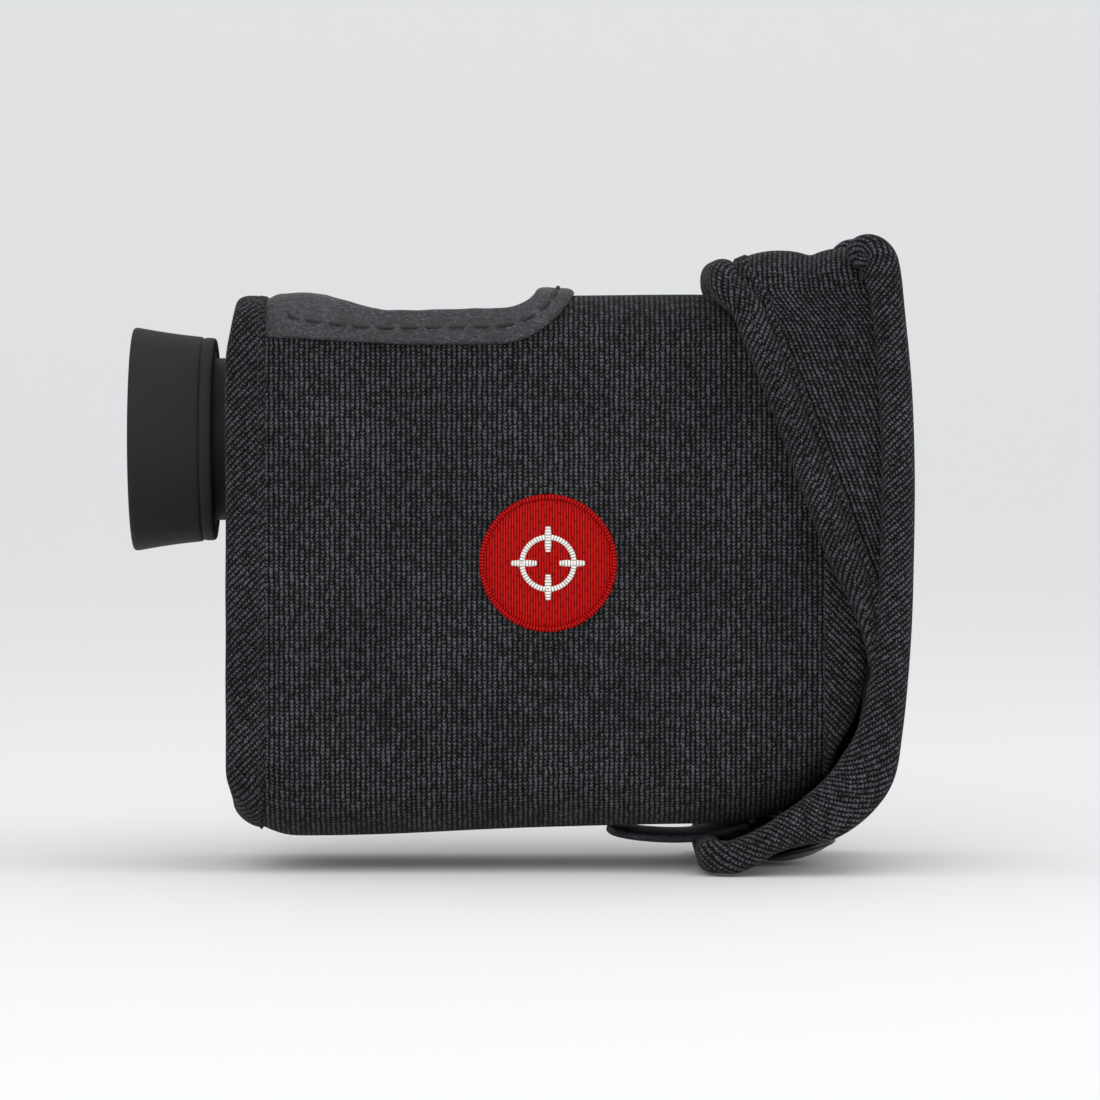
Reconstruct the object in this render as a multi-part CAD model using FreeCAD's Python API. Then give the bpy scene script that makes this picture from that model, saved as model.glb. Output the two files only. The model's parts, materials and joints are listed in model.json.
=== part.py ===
"""Compact laser rangefinder in a soft pull-off sleeve, as separate pieces.

+X points at the target, -Y is the side with the round patch, +Z is up. The origin is on the
ground, under the middle of the whole object. All lengths are in millimetres.
"""
import math
import os

from FreeCAD import Vector
import Part

# ---------------------------------------------------------------- driving dimensions
SIGHT_Z = 66.3               # height of the eyepiece and objective axis
LASER_Z = 38.0               # height of the laser lens axis
BATTERY_Z = 26.0             # height of the battery axis

BODY_REAR, BODY_FRONT = -44.0, 49.7
BODY_LOW, BODY_HIGH = 9.9, 84.7
BODY_HALF_WIDTH = 17.0
BODY_CORNER = 6.2            # radius of the long edges
SHELL_WALL = 2.0
SEAM_HALF = 0.4              # half the gap that the gasket fills
BEZEL_REAR = 47.3
BEZEL_LOW = 29.6

TOE_X, TOE_Z = 31.0, 28.6    # centre of the big round at the lower front corner
FIT = 0.3                    # clearance between the body and its sleeve
CLOTH = 3.0                  # thickness of the foam-backed cloth

SLEEVE_REAR, SLEEVE_FRONT = -45.2, 53.0
TAPE_PROUD = 0.6             # how far an edge binding stands above the cloth
REAR_TAPE_WIDTH = 6.2
FRONT_TAPE_WIDTH = 6.2
TOE_OPENING_Z = 15.4         # lower edge of the front opening

WINDOW_REAR, WINDOW_FRONT = -31.2, 2.2
WINDOW_HALF_WIDTH = 16.8
TRIM_REAR, TRIM_FRONT = -38.5, 8.5
TRIM_LOW = 80.8
TRIM_PROUD = 1.2

PATCH_X, PATCH_Z, PATCH_RADIUS, PATCH_THICK = 4.4, 47.0, 10.6, 0.9

EYE_REAR, EYE_FRONT = -60.5, -47.5
EYE_REAR_RADIUS, EYE_FRONT_RADIUS = 17.25, 15.6
TUBE_RADIUS, TUBE_BORE = 12.7, 11.2
RUN = 0.08                   # radial clearance of a running fit

HOOD_HALF_WIDTH = 22.0       # to the inner face of the rolled edges
ROLL_HALF_WIDTH = 25.0
ROLL_DEPTH = 5.2
ROLL_SPREAD = 3.2            # how much wider a rolled edge gets where it turns the corner
CORNER_X, CORNER_RADIUS = 34.0, 25.2      # the strip's round under the front corner
CREASE_ANGLE = -42.0         # where on that round the strip creases as the hood opens
PANEL_INSET, PANEL_THICK = 1.0, 3.2
MOUTH_FRONT = 28.7           # rear edge of the mouth binding on the roof
FOLD_HALF_ANGLE = 62.0       # each side of the crease is cut back by this much

TAIL_END_X = 27.6
TAIL_JOIN_ANGLE = -60.0      # where the tail leaves the round and runs straight
SNAP_X = 42.0
SNAP_RADIUS = 6.6

ROOF_SEAM_X = 50.6           # the roof panels end and the strip starts
MOUTH_LINE = [(28.7, 89.2), (33.0, 85.2), (42.5, 60.5), (52.2, 39.8)]    # rear edge, X and Z
MOUTH_WIDTH = 4.8

# centres of the housing screws, X and Z
SCREWS = [(-36.0, 81.2), (39.0, 81.2), (-32.5, 47.0), (36.0, 51.2), (-30.0, 13.8), (33.0, 14.4)]
SCREW_HEAD_Y, SCREW_HEAD_RADIUS, SCREW_RADIUS = 12.6, 1.7, 0.8
BUTTON_X, BUTTON_LENGTH, BUTTON_WIDTH = -9.0, 16.0, 11.0
MODE_X, MODE_RADIUS = -23.5, 4.0
BUTTON_TOP = 84.5
CAP_RADIUS = 9.5
LANYARD_X, LANYARD_Z = -41.6, 44.4

FAR = 200.0
Y_AXIS = Vector(0, 1, 0)


# ---------------------------------------------------------------- helpers
def box(x0, x1, y0, y1, z0, z1):
    return Part.makeBox(x1 - x0, y1 - y0, z1 - z0, Vector(x0, y0, z0))


def rod_x(x0, x1, radius, z, y=0.0):
    return Part.makeCylinder(radius, x1 - x0, Vector(x0, y, z), Vector(1, 0, 0))


def tube_x(x0, x1, outer, inner, z, y=0.0):
    return rod_x(x0, x1, outer, z, y).cut(rod_x(x0 - 1, x1 + 1, inner, z, y))


def rod_y(x, z, y0, y1, radius):
    return Part.makeCylinder(radius, y1 - y0, Vector(x, y0, z), Y_AXIS)


def rod_z(x, y, z0, z1, radius):
    return Part.makeCylinder(radius, z1 - z0, Vector(x, y, z0), Vector(0, 0, 1))


def slot_z(x, length, width, z0, z1):
    """A long round-ended block that stands on its end face, long side along Y."""
    half = (length - width) / 2
    ends = [rod_z(x, side * half, z0, z1, width / 2) for side in (-1, 1)]
    return box(x - width / 2, x + width / 2, -half, half, z0, z1).fuse(ends).removeSplitter()


def turned_x(points, z):
    """A solid of revolution about the X-parallel line at height z, from (x, radius) points."""
    outline = [Vector(x, 0, z + radius) for x, radius in points]
    face = Part.Face(Part.makePolygon(outline + outline[:1]))
    return face.revolve(Vector(0, 0, z), Vector(1, 0, 0), 360)


def lens(x, radius, edge, bulge, z):
    """A biconvex lens: a flat edge band between two bulged faces."""
    top, low = z + radius, z - radius
    rear, front = x - edge / 2, x + edge / 2
    front_arc = Part.Arc(Vector(front, 0, top), Vector(front + bulge, 0, z), Vector(front, 0, low))
    rear_arc = Part.Arc(Vector(rear, 0, low), Vector(rear - bulge, 0, z), Vector(rear, 0, top))
    edges = [
        front_arc.toShape(),
        Part.makeLine(Vector(front, 0, low), Vector(rear, 0, low)),
        rear_arc.toShape(),
        Part.makeLine(Vector(rear, 0, top), Vector(front, 0, top)),
    ]
    half = Part.Face(Part.Wire(edges)).common(box(x - 9, x + 9, -1, 1, z, z + FAR))
    return half.revolve(Vector(x, 0, z), Vector(1, 0, 0), 360)


def side_prism(edges, half_width):
    """Extrudes a closed outline in the XZ plane to both sides of Y = 0."""
    face = Part.Face(Part.Wire(Part.__sortEdges__(edges)))
    face.translate(Vector(0, -half_width, 0))
    return face.extrude(Vector(0, 2 * half_width, 0))


def polygon_prism(points, y0, y1):
    outline = [Vector(x, y0, z) for x, z in points]
    return Part.Face(Part.makePolygon(outline + outline[:1])).extrude(Vector(0, y1 - y0, 0))


def arc_edge(points):
    first, middle, last = [Vector(x, 0, z) for x, z in points]
    return Part.Arc(first, middle, last).toShape()


def line_edge(first, last):
    return Part.makeLine(Vector(first[0], 0, first[1]), Vector(last[0], 0, last[1]))


def on_circle(x, z, radius, degrees):
    angle = math.radians(degrees)
    return (x + radius * math.cos(angle), z + radius * math.sin(angle))


def round_block(x0, x1, half_width, z0, z1, radius):
    """A block along X whose four long edges are rounded."""
    block = box(x0, x1, -half_width, half_width, z0, z1)
    long_edges = [e for e in block.Edges if abs(e.BoundBox.XLength - (x1 - x0)) < 1e-6]
    return block.makeFillet(radius, long_edges)


def toe_block(rear, front, half_width, low, high, corner):
    """A round block whose lower front corner follows the big round of the toe."""
    toe = TOE_Z - low
    edges = [
        line_edge((rear, high), (front, high)),
        line_edge((front, high), (front, TOE_Z)),
        line_edge((rear, low), (rear, high)),
        line_edge((rear, low), (TOE_X, low)),
    ]
    if front > TOE_X + toe + 1e-6:
        edges.append(line_edge((front, TOE_Z), (TOE_X + toe, TOE_Z)))
    edges.append(arc_edge([(TOE_X + toe, TOE_Z), on_circle(TOE_X, TOE_Z, toe, -45), (TOE_X, low)]))
    outline = side_prism(edges, half_width + 5)
    return round_block(rear, front, half_width, low, high, corner).common(outline)


# ---------------------------------------------------------------- body shells


def body_block():
    return toe_block(BODY_REAR, BODY_FRONT, BODY_HALF_WIDTH, BODY_LOW, BODY_HIGH, BODY_CORNER)


def body_cavity():
    return toe_block(BODY_REAR + SHELL_WALL, BODY_FRONT - 4.4, BODY_HALF_WIDTH - SHELL_WALL,
                     BODY_LOW + SHELL_WALL, BODY_HIGH - SHELL_WALL, BODY_CORNER - SHELL_WALL)


def screw_posts():
    posts = [rod_y(x, z, -16, 16, 2.3) for x, z in SCREWS]
    seat = rod_x(BODY_REAR + 0.5, -40.2, CAP_RADIUS + 2.0, BATTERY_Z)
    pocket = box(BODY_REAR + 0.5, -38.2, -7.5, 7.5, LANYARD_Z - 6, LANYARD_Z + 6)
    return posts + [seat, pocket]


def shell_openings():
    """Everything that is cut out of the two shells and the gasket."""
    cuts = [
        rod_x(BODY_REAR - 1, -30.0, TUBE_RADIUS, SIGHT_Z),
        rod_x(BODY_REAR - 1, -39.0, CAP_RADIUS + RUN, BATTERY_Z),
        box(BODY_REAR - 1, -39.6, -5.5, 5.5, LANYARD_Z - 4.2, LANYARD_Z + 4.2),
        rod_y(LANYARD_X, LANYARD_Z, -7.5, 7.5, 1.25),
        rod_x(40.0, FAR, 12.5, SIGHT_Z),
        rod_x(40.0, FAR, 10.5, LASER_Z),
        slot_z(BUTTON_X, BUTTON_LENGTH + 0.5, BUTTON_WIDTH + 0.5, 80.0, FAR),
        rod_z(MODE_X, 0, 80.0, FAR, MODE_RADIUS + 0.25),
        box(BEZEL_REAR - 0.1, FAR, -FAR, FAR, BEZEL_LOW - 0.1, FAR),
    ]
    for x, z in SCREWS:
        cuts.append(rod_y(x, z, -12.0, BODY_HALF_WIDTH, SCREW_RADIUS))
        cuts.append(rod_y(x, z, SCREW_HEAD_Y, BODY_HALF_WIDTH + 1, SCREW_HEAD_RADIUS))
    return cuts


def housing():
    walls = body_block().cut(body_cavity())
    posts = [post.common(body_block()) for post in screw_posts()]
    return walls.fuse(posts).cut(shell_openings())


def housing_half(side):
    """One shell: side is 1 for the left (+Y) and -1 for the right."""
    near, far = SEAM_HALF, FAR
    y0, y1 = (near, far) if side > 0 else (-far, -near)
    return housing().common(box(-FAR, FAR, y0, y1, -FAR, FAR))


def housing_gasket():
    """A thin frame between the shells, set back a little from the outer surface."""
    inset = 0.5
    outer = toe_block(BODY_REAR + inset, BODY_FRONT - inset, BODY_HALF_WIDTH, BODY_LOW + inset,
                      BODY_HIGH - inset, 1.0)
    ring = outer.cut(body_cavity()).common(box(-FAR, FAR, -SEAM_HALF, SEAM_HALF, -FAR, FAR))
    lengths = [solid for solid in ring.cut(shell_openings()).Solids if solid.Volume > 1.0]
    return Part.makeCompound(lengths)


def front_bezel():
    plate = body_block().common(box(BEZEL_REAR, FAR, -FAR, FAR, BEZEL_LOW, FAR))
    front_edges = [e for e in plate.Edges if e.BoundBox.XMin > BODY_FRONT - 0.01]
    plate = plate.makeChamfer(0.7, front_edges)
    sight = turned_x([(BEZEL_REAR - 1, 0), (BEZEL_REAR - 1, 10.8), (48.0, 10.8), (50.0, 12.2),
                      (50.0, 0)], SIGHT_Z)
    laser = turned_x([(BEZEL_REAR - 1, 0), (BEZEL_REAR - 1, 8.6), (48.0, 8.6), (50.0, 9.8),
                      (50.0, 0)], LASER_Z)
    return plate.cut([sight, laser])


def housing_screws():
    """Six countersunk screws that hold the left shell to the right one."""
    screws = []
    for x, z in SCREWS:
        head = rod_y(x, z, SCREW_HEAD_Y, SCREW_HEAD_Y + 1.1, SCREW_HEAD_RADIUS)
        shank = rod_y(x, z, -11.8, SCREW_HEAD_Y, SCREW_RADIUS)
        drive = box(x - 1.1, x + 1.1, SCREW_HEAD_Y + 0.5, FAR, z - 0.25, z + 0.25)
        screws.append(head.fuse(shank).removeSplitter().cut(drive))
    return Part.makeCompound(screws)


def lanyard_bar():
    return rod_y(LANYARD_X, LANYARD_Z, -7.4, 7.4, 1.25)


# ---------------------------------------------------------------- optics
def objective_barrel():
    barrel = tube_x(22.0, 47.2, 12.45, 11.2, SIGHT_Z)
    stop = tube_x(42.6, 43.4, 11.3, 9.8, SIGHT_Z)
    return barrel.fuse(stop).removeSplitter()


def objective_lens():
    return lens(45.2, 11.1, 2.2, 1.1, SIGHT_Z)


def laser_barrel():
    barrel = tube_x(22.0, 47.2, 10.45, 9.2, LASER_Z)
    stop = tube_x(42.6, 43.4, 9.3, 8.0, LASER_Z)
    return barrel.fuse(stop).removeSplitter()


def laser_lens():
    return lens(45.2, 9.1, 2.2, 0.9, LASER_Z)


def laser_module():
    can = rod_x(15.0, 19.0, 4.5, LASER_Z)
    flange = rod_x(19.05, 20.2, 7.0, LASER_Z)
    nose = rod_x(20.2, 24.0, 3.0, LASER_Z)
    return can.fuse([rod_x(19.0, 20.2, 7.0, LASER_Z), flange, nose]).removeSplitter()


def receiver_detector():
    can = rod_z(4.0, 0, 48.4, 53.6, 4.0)
    return can.fuse(rod_z(4.0, 0, 47.4, 48.4, 4.8)).removeSplitter()


def roof_prism():
    """Two glass blocks with a hair gap between their slanted faces."""
    front = polygon_prism([(15.0, 57.0), (15.0, 74.4), (6.6, 74.4), (-1.6, 66.2), (7.6, 57.0)], -8, 8)
    rear = polygon_prism([(-2.0, 65.8), (-10.4, 74.2), (-15.0, 70.0), (-15.0, 57.0), (6.8, 57.0)],
                         -8, 8)
    return Part.makeCompound([front, rear])


def prism_holder():
    cradle = box(-16.0, 16.0, -10.4, 10.4, 54.2, 75.4)
    cradle = cradle.cut(box(-FAR, FAR, -8.2, 8.2, 56.8, FAR))
    window = rod_z(4.0, 0, 50.0, 60.0, 3.2)
    return cradle.cut(window)


def display_module():
    glass = box(-21.0, -19.4, -8.4, 8.4, 58.4, 74.2)
    return glass.fuse(box(-21.0, -19.4, -3.0, 3.0, 54.4, 58.4)).removeSplitter()


def eyepiece_tube():
    return tube_x(-55.6, -30.0, TUBE_RADIUS, TUBE_BORE, SIGHT_Z)


def ocular_cell():
    cell = tube_x(-52.6, -40.0, TUBE_BORE - RUN, 9.6, SIGHT_Z)
    ledge = tube_x(-46.4, -45.6, 9.7, 8.2, SIGHT_Z)
    return cell.fuse(ledge).removeSplitter()


def ocular_lenses():
    return Part.makeCompound([lens(-49.2, 9.5, 2.6, 1.0, SIGHT_Z), lens(-42.8, 9.5, 2.6, 1.0, SIGHT_Z)])


def diopter_ring():
    """Turns on the eyepiece tube and covers its rear end with a thin flange."""
    outer = 13.8
    outline = [(-58.0, 10.2), (-58.0, outer), (-47.7, outer), (-47.7, TUBE_RADIUS + RUN),
               (-56.4, TUBE_RADIUS + RUN), (-56.4, 10.2)]
    return turned_x(outline, SIGHT_Z)


def eyecup():
    """Flared rubber cup, stretched over the diopter ring."""
    inner = 13.8
    outline = [(EYE_REAR + 0.5, 15.9), (EYE_REAR, 16.4), (EYE_REAR, EYE_REAR_RADIUS - 0.4),
               (EYE_REAR + 0.4, EYE_REAR_RADIUS), (-54.5, 16.1), (EYE_FRONT - 1.6, 15.6),
               (EYE_FRONT - 1.2, EYE_FRONT_RADIUS), (EYE_FRONT, EYE_FRONT_RADIUS),
               (EYE_FRONT, inner), (-58.2, inner)]
    return turned_x(outline, SIGHT_Z)


# ---------------------------------------------------------------- buttons and electronics
def measure_button():
    cap = slot_z(BUTTON_X, BUTTON_LENGTH, BUTTON_WIDTH, 81.6, BUTTON_TOP)
    top_edges = [e for e in cap.Edges if e.BoundBox.ZMin > BUTTON_TOP - 0.01]
    cap = cap.makeFillet(0.7, top_edges)
    flange = slot_z(BUTTON_X, BUTTON_LENGTH + 1.8, BUTTON_WIDTH + 1.8, 81.6, 82.6)
    return cap.fuse(flange).removeSplitter()


def mode_button():
    cap = rod_z(MODE_X, 0, 81.6, BUTTON_TOP, MODE_RADIUS)
    top_edges = [e for e in cap.Edges if e.BoundBox.ZMin > BUTTON_TOP - 0.01]
    cap = cap.makeFillet(0.7, top_edges)
    return cap.fuse(rod_z(MODE_X, 0, 81.6, 82.6, MODE_RADIUS + 0.9)).removeSplitter()


def button_seal():
    sheet = box(-31.0, 0.0, -10.5, 10.5, 79.7, 80.5)
    upright = [e for e in sheet.Edges if e.BoundBox.ZLength > 0.7]
    return sheet.makeFillet(2.0, upright)


def tact_switches():
    stands = []
    for x in (BUTTON_X, MODE_X):
        base = box(x - 2.2, x + 2.2, -2.2, 2.2, 77.2, 79.0)
        stands.append(base.fuse(rod_z(x, 0, 79.0, 79.6, 1.2)).removeSplitter())
    return Part.makeCompound(stands)


def switch_board():
    return box(-29.0, 2.0, -10.0, 10.0, 76.0, 77.2)


def main_circuit_board():
    board = box(-26.0, 33.0, 11.4, 12.6, 18.0, 60.0)
    chips = [box(-18.0, -8.0, 12.6, 13.8, 40.0, 50.0), box(2.0, 9.0, 12.6, 13.6, 30.0, 42.0),
             box(16.0, 26.0, 12.6, 13.8, 44.0, 52.0)]
    return board.fuse(chips).removeSplitter()


def battery():
    can = rod_x(-39.2, -13.2, 7.8, BATTERY_Z)
    return can.fuse(rod_x(-13.2, -12.2, 3.2, BATTERY_Z)).removeSplitter()


def battery_tube():
    tube = tube_x(-39.8, -8.0, 9.3, 8.1, BATTERY_Z)
    return tube.fuse(rod_x(-9.2, -8.0, 9.3, BATTERY_Z)).removeSplitter()


def contact_spring():
    """Folded leaf contact between the end of the battery tube and the battery's nub."""
    wall, nub, leaf = -9.2, -12.2, 0.3
    outer = [(wall, -3.2), (wall - leaf, -3.2), (wall - leaf, 1.6), (nub + leaf, 0.0), (nub, 0.0),
             (nub, 0.6), (wall - leaf, 2.4), (wall - leaf, 3.2), (wall, 3.2)]
    return polygon_prism([(x, BATTERY_Z + z) for x, z in outer], -2.5, 2.5)


def battery_cap():
    """Quarter-turn cap with a coin slot and a groove for its ring."""
    front = -40.4
    outline = [(BODY_REAR, 0), (BODY_REAR, CAP_RADIUS - 0.5), (BODY_REAR + 0.5, CAP_RADIUS),
               (-43.0, CAP_RADIUS), (-43.0, 8.3), (-41.4, 8.3), (-41.4, CAP_RADIUS),
               (front, CAP_RADIUS), (front, 0)]
    cap = turned_x(outline, BATTERY_Z)
    return cap.cut(box(-FAR, BODY_REAR + 1.2, -6.5, 6.5, BATTERY_Z - 0.8, BATTERY_Z + 0.8))


def battery_cap_seal():
    ring = Part.makeTorus(8.85, 0.55, Vector(-42.2, 0, BATTERY_Z), Vector(1, 0, 0))
    return ring


# ---------------------------------------------------------------- sleeve
def sleeve_outer(proud=0.0):
    low = BODY_LOW - FIT - CLOTH - proud
    high = BODY_HIGH + FIT + CLOTH + proud
    half = BODY_HALF_WIDTH + FIT + CLOTH + proud
    return toe_block(SLEEVE_REAR, SLEEVE_FRONT + 0.6, half, low, high, 9.5 + proud)


def sleeve_shell(proud=0.0):
    """The cloth tube, open at the back, with its front opening above the toe."""
    inner = toe_block(SLEEVE_REAR - 1, SLEEVE_FRONT - CLOTH, BODY_HALF_WIDTH + FIT,
                      BODY_LOW - FIT, BODY_HIGH + FIT, BODY_CORNER + FIT)
    opening = round_block(TOE_X + 8, FAR, BODY_HALF_WIDTH + FIT, TOE_OPENING_Z, BODY_HIGH + FIT, 5.0)
    trimmed = sleeve_outer(proud).common(box(-FAR, SLEEVE_FRONT, -FAR, FAR, -FAR, FAR))
    return trimmed.cut([inner, opening])


def front_tape_region():
    """The band along the front edge, from the roof down and round the side of the toe."""
    toe = TOE_Z - (BODY_LOW - FIT - CLOTH)
    inner, outer = toe - FRONT_TAPE_WIDTH, toe + 3
    last = -52.0
    edges = [
        line_edge((TOE_X + inner, FAR), (TOE_X + outer, FAR)),
        line_edge((TOE_X + outer, FAR), (TOE_X + outer, TOE_Z)),
        arc_edge([on_circle(TOE_X, TOE_Z, outer, 0), on_circle(TOE_X, TOE_Z, outer, last / 2),
                  on_circle(TOE_X, TOE_Z, outer, last)]),
        line_edge(on_circle(TOE_X, TOE_Z, outer, last), on_circle(TOE_X, TOE_Z, inner, last)),
        arc_edge([on_circle(TOE_X, TOE_Z, inner, 0), on_circle(TOE_X, TOE_Z, inner, last / 2),
                  on_circle(TOE_X, TOE_Z, inner, last)]),
        line_edge((TOE_X + inner, FAR), (TOE_X + inner, TOE_Z)),
    ]
    return side_prism(edges, 60)


def rear_tape_region():
    return box(-FAR, SLEEVE_REAR + REAR_TAPE_WIDTH, -FAR, FAR, -FAR, FAR)


def window_cutter(grow=0.0):
    """The button window: a rounded block cut down through the roof."""
    cutter = box(WINDOW_REAR - grow, WINDOW_FRONT + grow, -WINDOW_HALF_WIDTH - grow,
                 WINDOW_HALF_WIDTH + grow, 82.0, FAR)
    upright = [e for e in cutter.Edges if e.BoundBox.ZLength > 50]
    return cutter.makeFillet(5.0, upright)


def sleeve_body():
    body = sleeve_shell().cut([front_tape_region(), rear_tape_region(), window_cutter()])
    return body


def sleeve_front_binding():
    return sleeve_shell(TAPE_PROUD).common(front_tape_region())


def sleeve_rear_binding():
    return sleeve_shell(TAPE_PROUD).common(rear_tape_region())


def window_trim():
    """Leather frame round the window, folded down over both sides of the roof."""
    skin = sleeve_outer(TRIM_PROUD).cut(sleeve_outer())
    frame = box(TRIM_REAR, TRIM_FRONT, -FAR, FAR, TRIM_LOW, FAR)
    sides = [e for e in frame.Edges if e.BoundBox.YLength > 50 and e.BoundBox.ZMax < TRIM_LOW + 1]
    frame = frame.makeFillet(6.0, sides)
    return skin.common(frame).cut(window_cutter())


def round_patch():
    face = BODY_HALF_WIDTH + FIT + CLOTH
    return rod_y(PATCH_X, PATCH_Z, -face - PATCH_THICK, -face, PATCH_RADIUS)


# ---------------------------------------------------------------- hood
def strip_outline(inset, spread=0.0):
    """The line of the long strip from the roof round the front to the ground, as edges.

    It is a small arc at the top corner, a long bowed front and the round under the corner.
    The inset moves the line in from the outer face, and spread widens it at the round.
    """
    roof, corner_end, front_end = 97.3 - inset, (58.9 - inset, 89.6), (59.0 - inset, 27.0)
    middle_radius = CORNER_RADIUS - inset - spread
    middle = on_circle(CORNER_X, CORNER_RADIUS, middle_radius, CREASE_ANGLE)
    edges = [
        line_edge((46.0, roof), (52.0, roof)),
        arc_edge([(52.0, roof), (57.2 - 0.7 * inset, 95.0 - 0.7 * inset), corner_end]),
        arc_edge([corner_end, (60.5 - inset, 58.0), front_end]),
        arc_edge([front_end, middle, (CORNER_X, inset)]),
    ]
    return edges, (46.0, roof), (CORNER_X, inset)


def strip_band(outer_inset, inner_inset, half_width, spread=0.0):
    """The solid between two lines of the strip, to both sides of Y = 0."""
    outer, outer_roof, outer_low = strip_outline(outer_inset)
    inner, inner_roof, inner_low = strip_outline(inner_inset, spread)
    ends = [line_edge(outer_roof, inner_roof), line_edge(outer_low, inner_low)]
    return side_prism(outer + inner + ends, half_width)


def crease_point():
    middle = CORNER_RADIUS - PANEL_INSET - PANEL_THICK / 2
    return on_circle(CORNER_X, CORNER_RADIUS, middle, CREASE_ANGLE)


def crease_wedge(start_degrees, end_degrees):
    """A wedge with its edge on the crease line, used to part the hood from the tail."""
    reach = 40.0
    steps = 4
    turn = (end_degrees - start_degrees) / steps
    x, z = crease_point()
    arc = [on_circle(x, z, reach, start_degrees + i * turn) for i in range(steps + 1)]
    return polygon_prism([(x, z)] + arc, -60, 60)


def above_crease(solid):
    """Keeps the hood's side of the crease, cut back so that the hood can open."""
    rear_half = crease_wedge(CREASE_ANGLE - 181, CREASE_ANGLE + FOLD_HALF_ANGLE)
    return solid.cut(rear_half)


def below_crease(solid):
    """Keeps the tail's side of the crease."""
    upper_half = crease_wedge(CREASE_ANGLE - FOLD_HALF_ANGLE, CREASE_ANGLE + 181)
    above = box(CORNER_X - 20, FAR, -FAR, FAR, 40.0, FAR)
    return solid.cut([upper_half, above])


def one_side(side):
    """Everything outside the strip's panel, on the left (1) or the right (-1)."""
    y0, y1 = (HOOD_HALF_WIDTH, FAR) if side > 0 else (-FAR, -HOOD_HALF_WIDTH)
    return box(-FAR, FAR, y0, y1, -FAR, FAR)


def rolled_strip():
    return strip_band(0.0, ROLL_DEPTH, ROLL_HALF_WIDTH, ROLL_SPREAD)


def panel_strip():
    return strip_band(PANEL_INSET, PANEL_INSET + PANEL_THICK, HOOD_HALF_WIDTH)


def behind_roof_seam():
    return box(-FAR, ROOF_SEAM_X, -FAR, FAR, 60.0, FAR)


def hood_edge_binding(side):
    return above_crease(rolled_strip()).common(one_side(side)).cut(behind_roof_seam())


def hood_front_panel():
    return above_crease(panel_strip()).cut(behind_roof_seam())


def hood_roof_panel():
    """Two padded panels that meet in a crease across the roof."""
    rear = box(36.0, 44.9, -HOOD_HALF_WIDTH, HOOD_HALF_WIDTH, 91.4, 94.8)
    front = box(44.9, ROOF_SEAM_X, -HOOD_HALF_WIDTH, HOOD_HALF_WIDTH, 91.6, 95.4)
    return rear.fuse(front).removeSplitter()


def hood_mouth_binding():
    """Rolled edge of the hood's mouth: over the roof and down both slanted sides."""
    front = [(x + MOUTH_WIDTH, z + 1.6) for x, z in reversed(MOUTH_LINE[1:])]
    roof = [(MOUTH_FRONT + 6.0, 94.0), (MOUTH_FRONT, 94.0)]
    frame = polygon_prism(MOUTH_LINE + front + roof, -24.6, 24.6)
    hollow = box(-FAR, FAR, -21.3, 21.3, -FAR, 88.9)
    return frame.cut([hollow, rolled_strip()])


def hood_gusset(side):
    """Triangular side panel between the mouth binding and the rolled front edge."""
    y0, y1 = (21.4, 24.0) if side > 0 else (-24.0, -21.4)
    plate = polygon_prism([(34.0, 91.2), (57.0, 91.2), (57.0, 41.0), (54.0, 41.0)], y0, y1)
    clear = [hood_mouth_binding(), rolled_strip(), hood_roof_panel(), panel_strip()]
    return max(plate.cut(clear).Solids, key=lambda solid: solid.Volume)


# ---------------------------------------------------------------- tail, snap and pull tab
def tail_line(inset):
    """Side line of the tail's panel: straight from its end, then round to the crease."""
    radius = CORNER_RADIUS - inset
    join = on_circle(CORNER_X, CORNER_RADIUS, radius, TAIL_JOIN_ANGLE)
    middle = on_circle(CORNER_X, CORNER_RADIUS, radius, TAIL_JOIN_ANGLE + 10)
    last = on_circle(CORNER_X, CORNER_RADIUS, radius, TAIL_JOIN_ANGLE + 22)
    return (TAIL_END_X + 3.0, inset), join, middle, last


def tail_panel():
    low_end, low_join, low_middle, low_last = tail_line(PANEL_INSET)
    high_end, high_join, high_middle, high_last = tail_line(PANEL_INSET + PANEL_THICK)
    edges = [
        line_edge(low_end, low_join),
        arc_edge([low_join, low_middle, low_last]),
        line_edge(low_last, high_last),
        arc_edge([high_join, high_middle, high_last]),
        line_edge(high_end, high_join),
        line_edge(low_end, high_end),
    ]
    return below_crease(side_prism(edges, HOOD_HALF_WIDTH)).cut(snap_post())


def tail_edge_binding():
    """Rolled edge along both sides of the tail and round its end."""
    sides = below_crease(rolled_strip()).common(box(CORNER_X, FAR, -FAR, FAR, -FAR, FAR))
    flat = box(TAIL_END_X + 2.6, CORNER_X, -ROLL_HALF_WIDTH, ROLL_HALF_WIDTH, 0.0, ROLL_DEPTH)
    end = rod_y(TAIL_END_X + 2.6, 2.6, -ROLL_HALF_WIDTH, ROLL_HALF_WIDTH, 2.6)
    inside = box(TAIL_END_X + 3.0, FAR, -HOOD_HALF_WIDTH, HOOD_HALF_WIDTH, -FAR, FAR)
    return sides.fuse([flat, end]).cut(inside).removeSplitter()


def snap_frame(solid):
    """Moves a solid made on the origin, axis up, to the snap's place on the slanted tail."""
    (end_x, end_z), (join_x, join_z), _, _ = tail_line(PANEL_INSET)
    slope = (join_z - end_z) / (join_x - end_x)
    solid.rotate(Vector(0, 0, 0), Y_AXIS, -math.degrees(math.atan(slope)))
    solid.translate(Vector(SNAP_X, 0, end_z + slope * (SNAP_X - end_x)))
    return solid


def snap_post():
    return snap_frame(rod_z(0, 0, -0.1, 3.3, 1.6))


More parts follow.
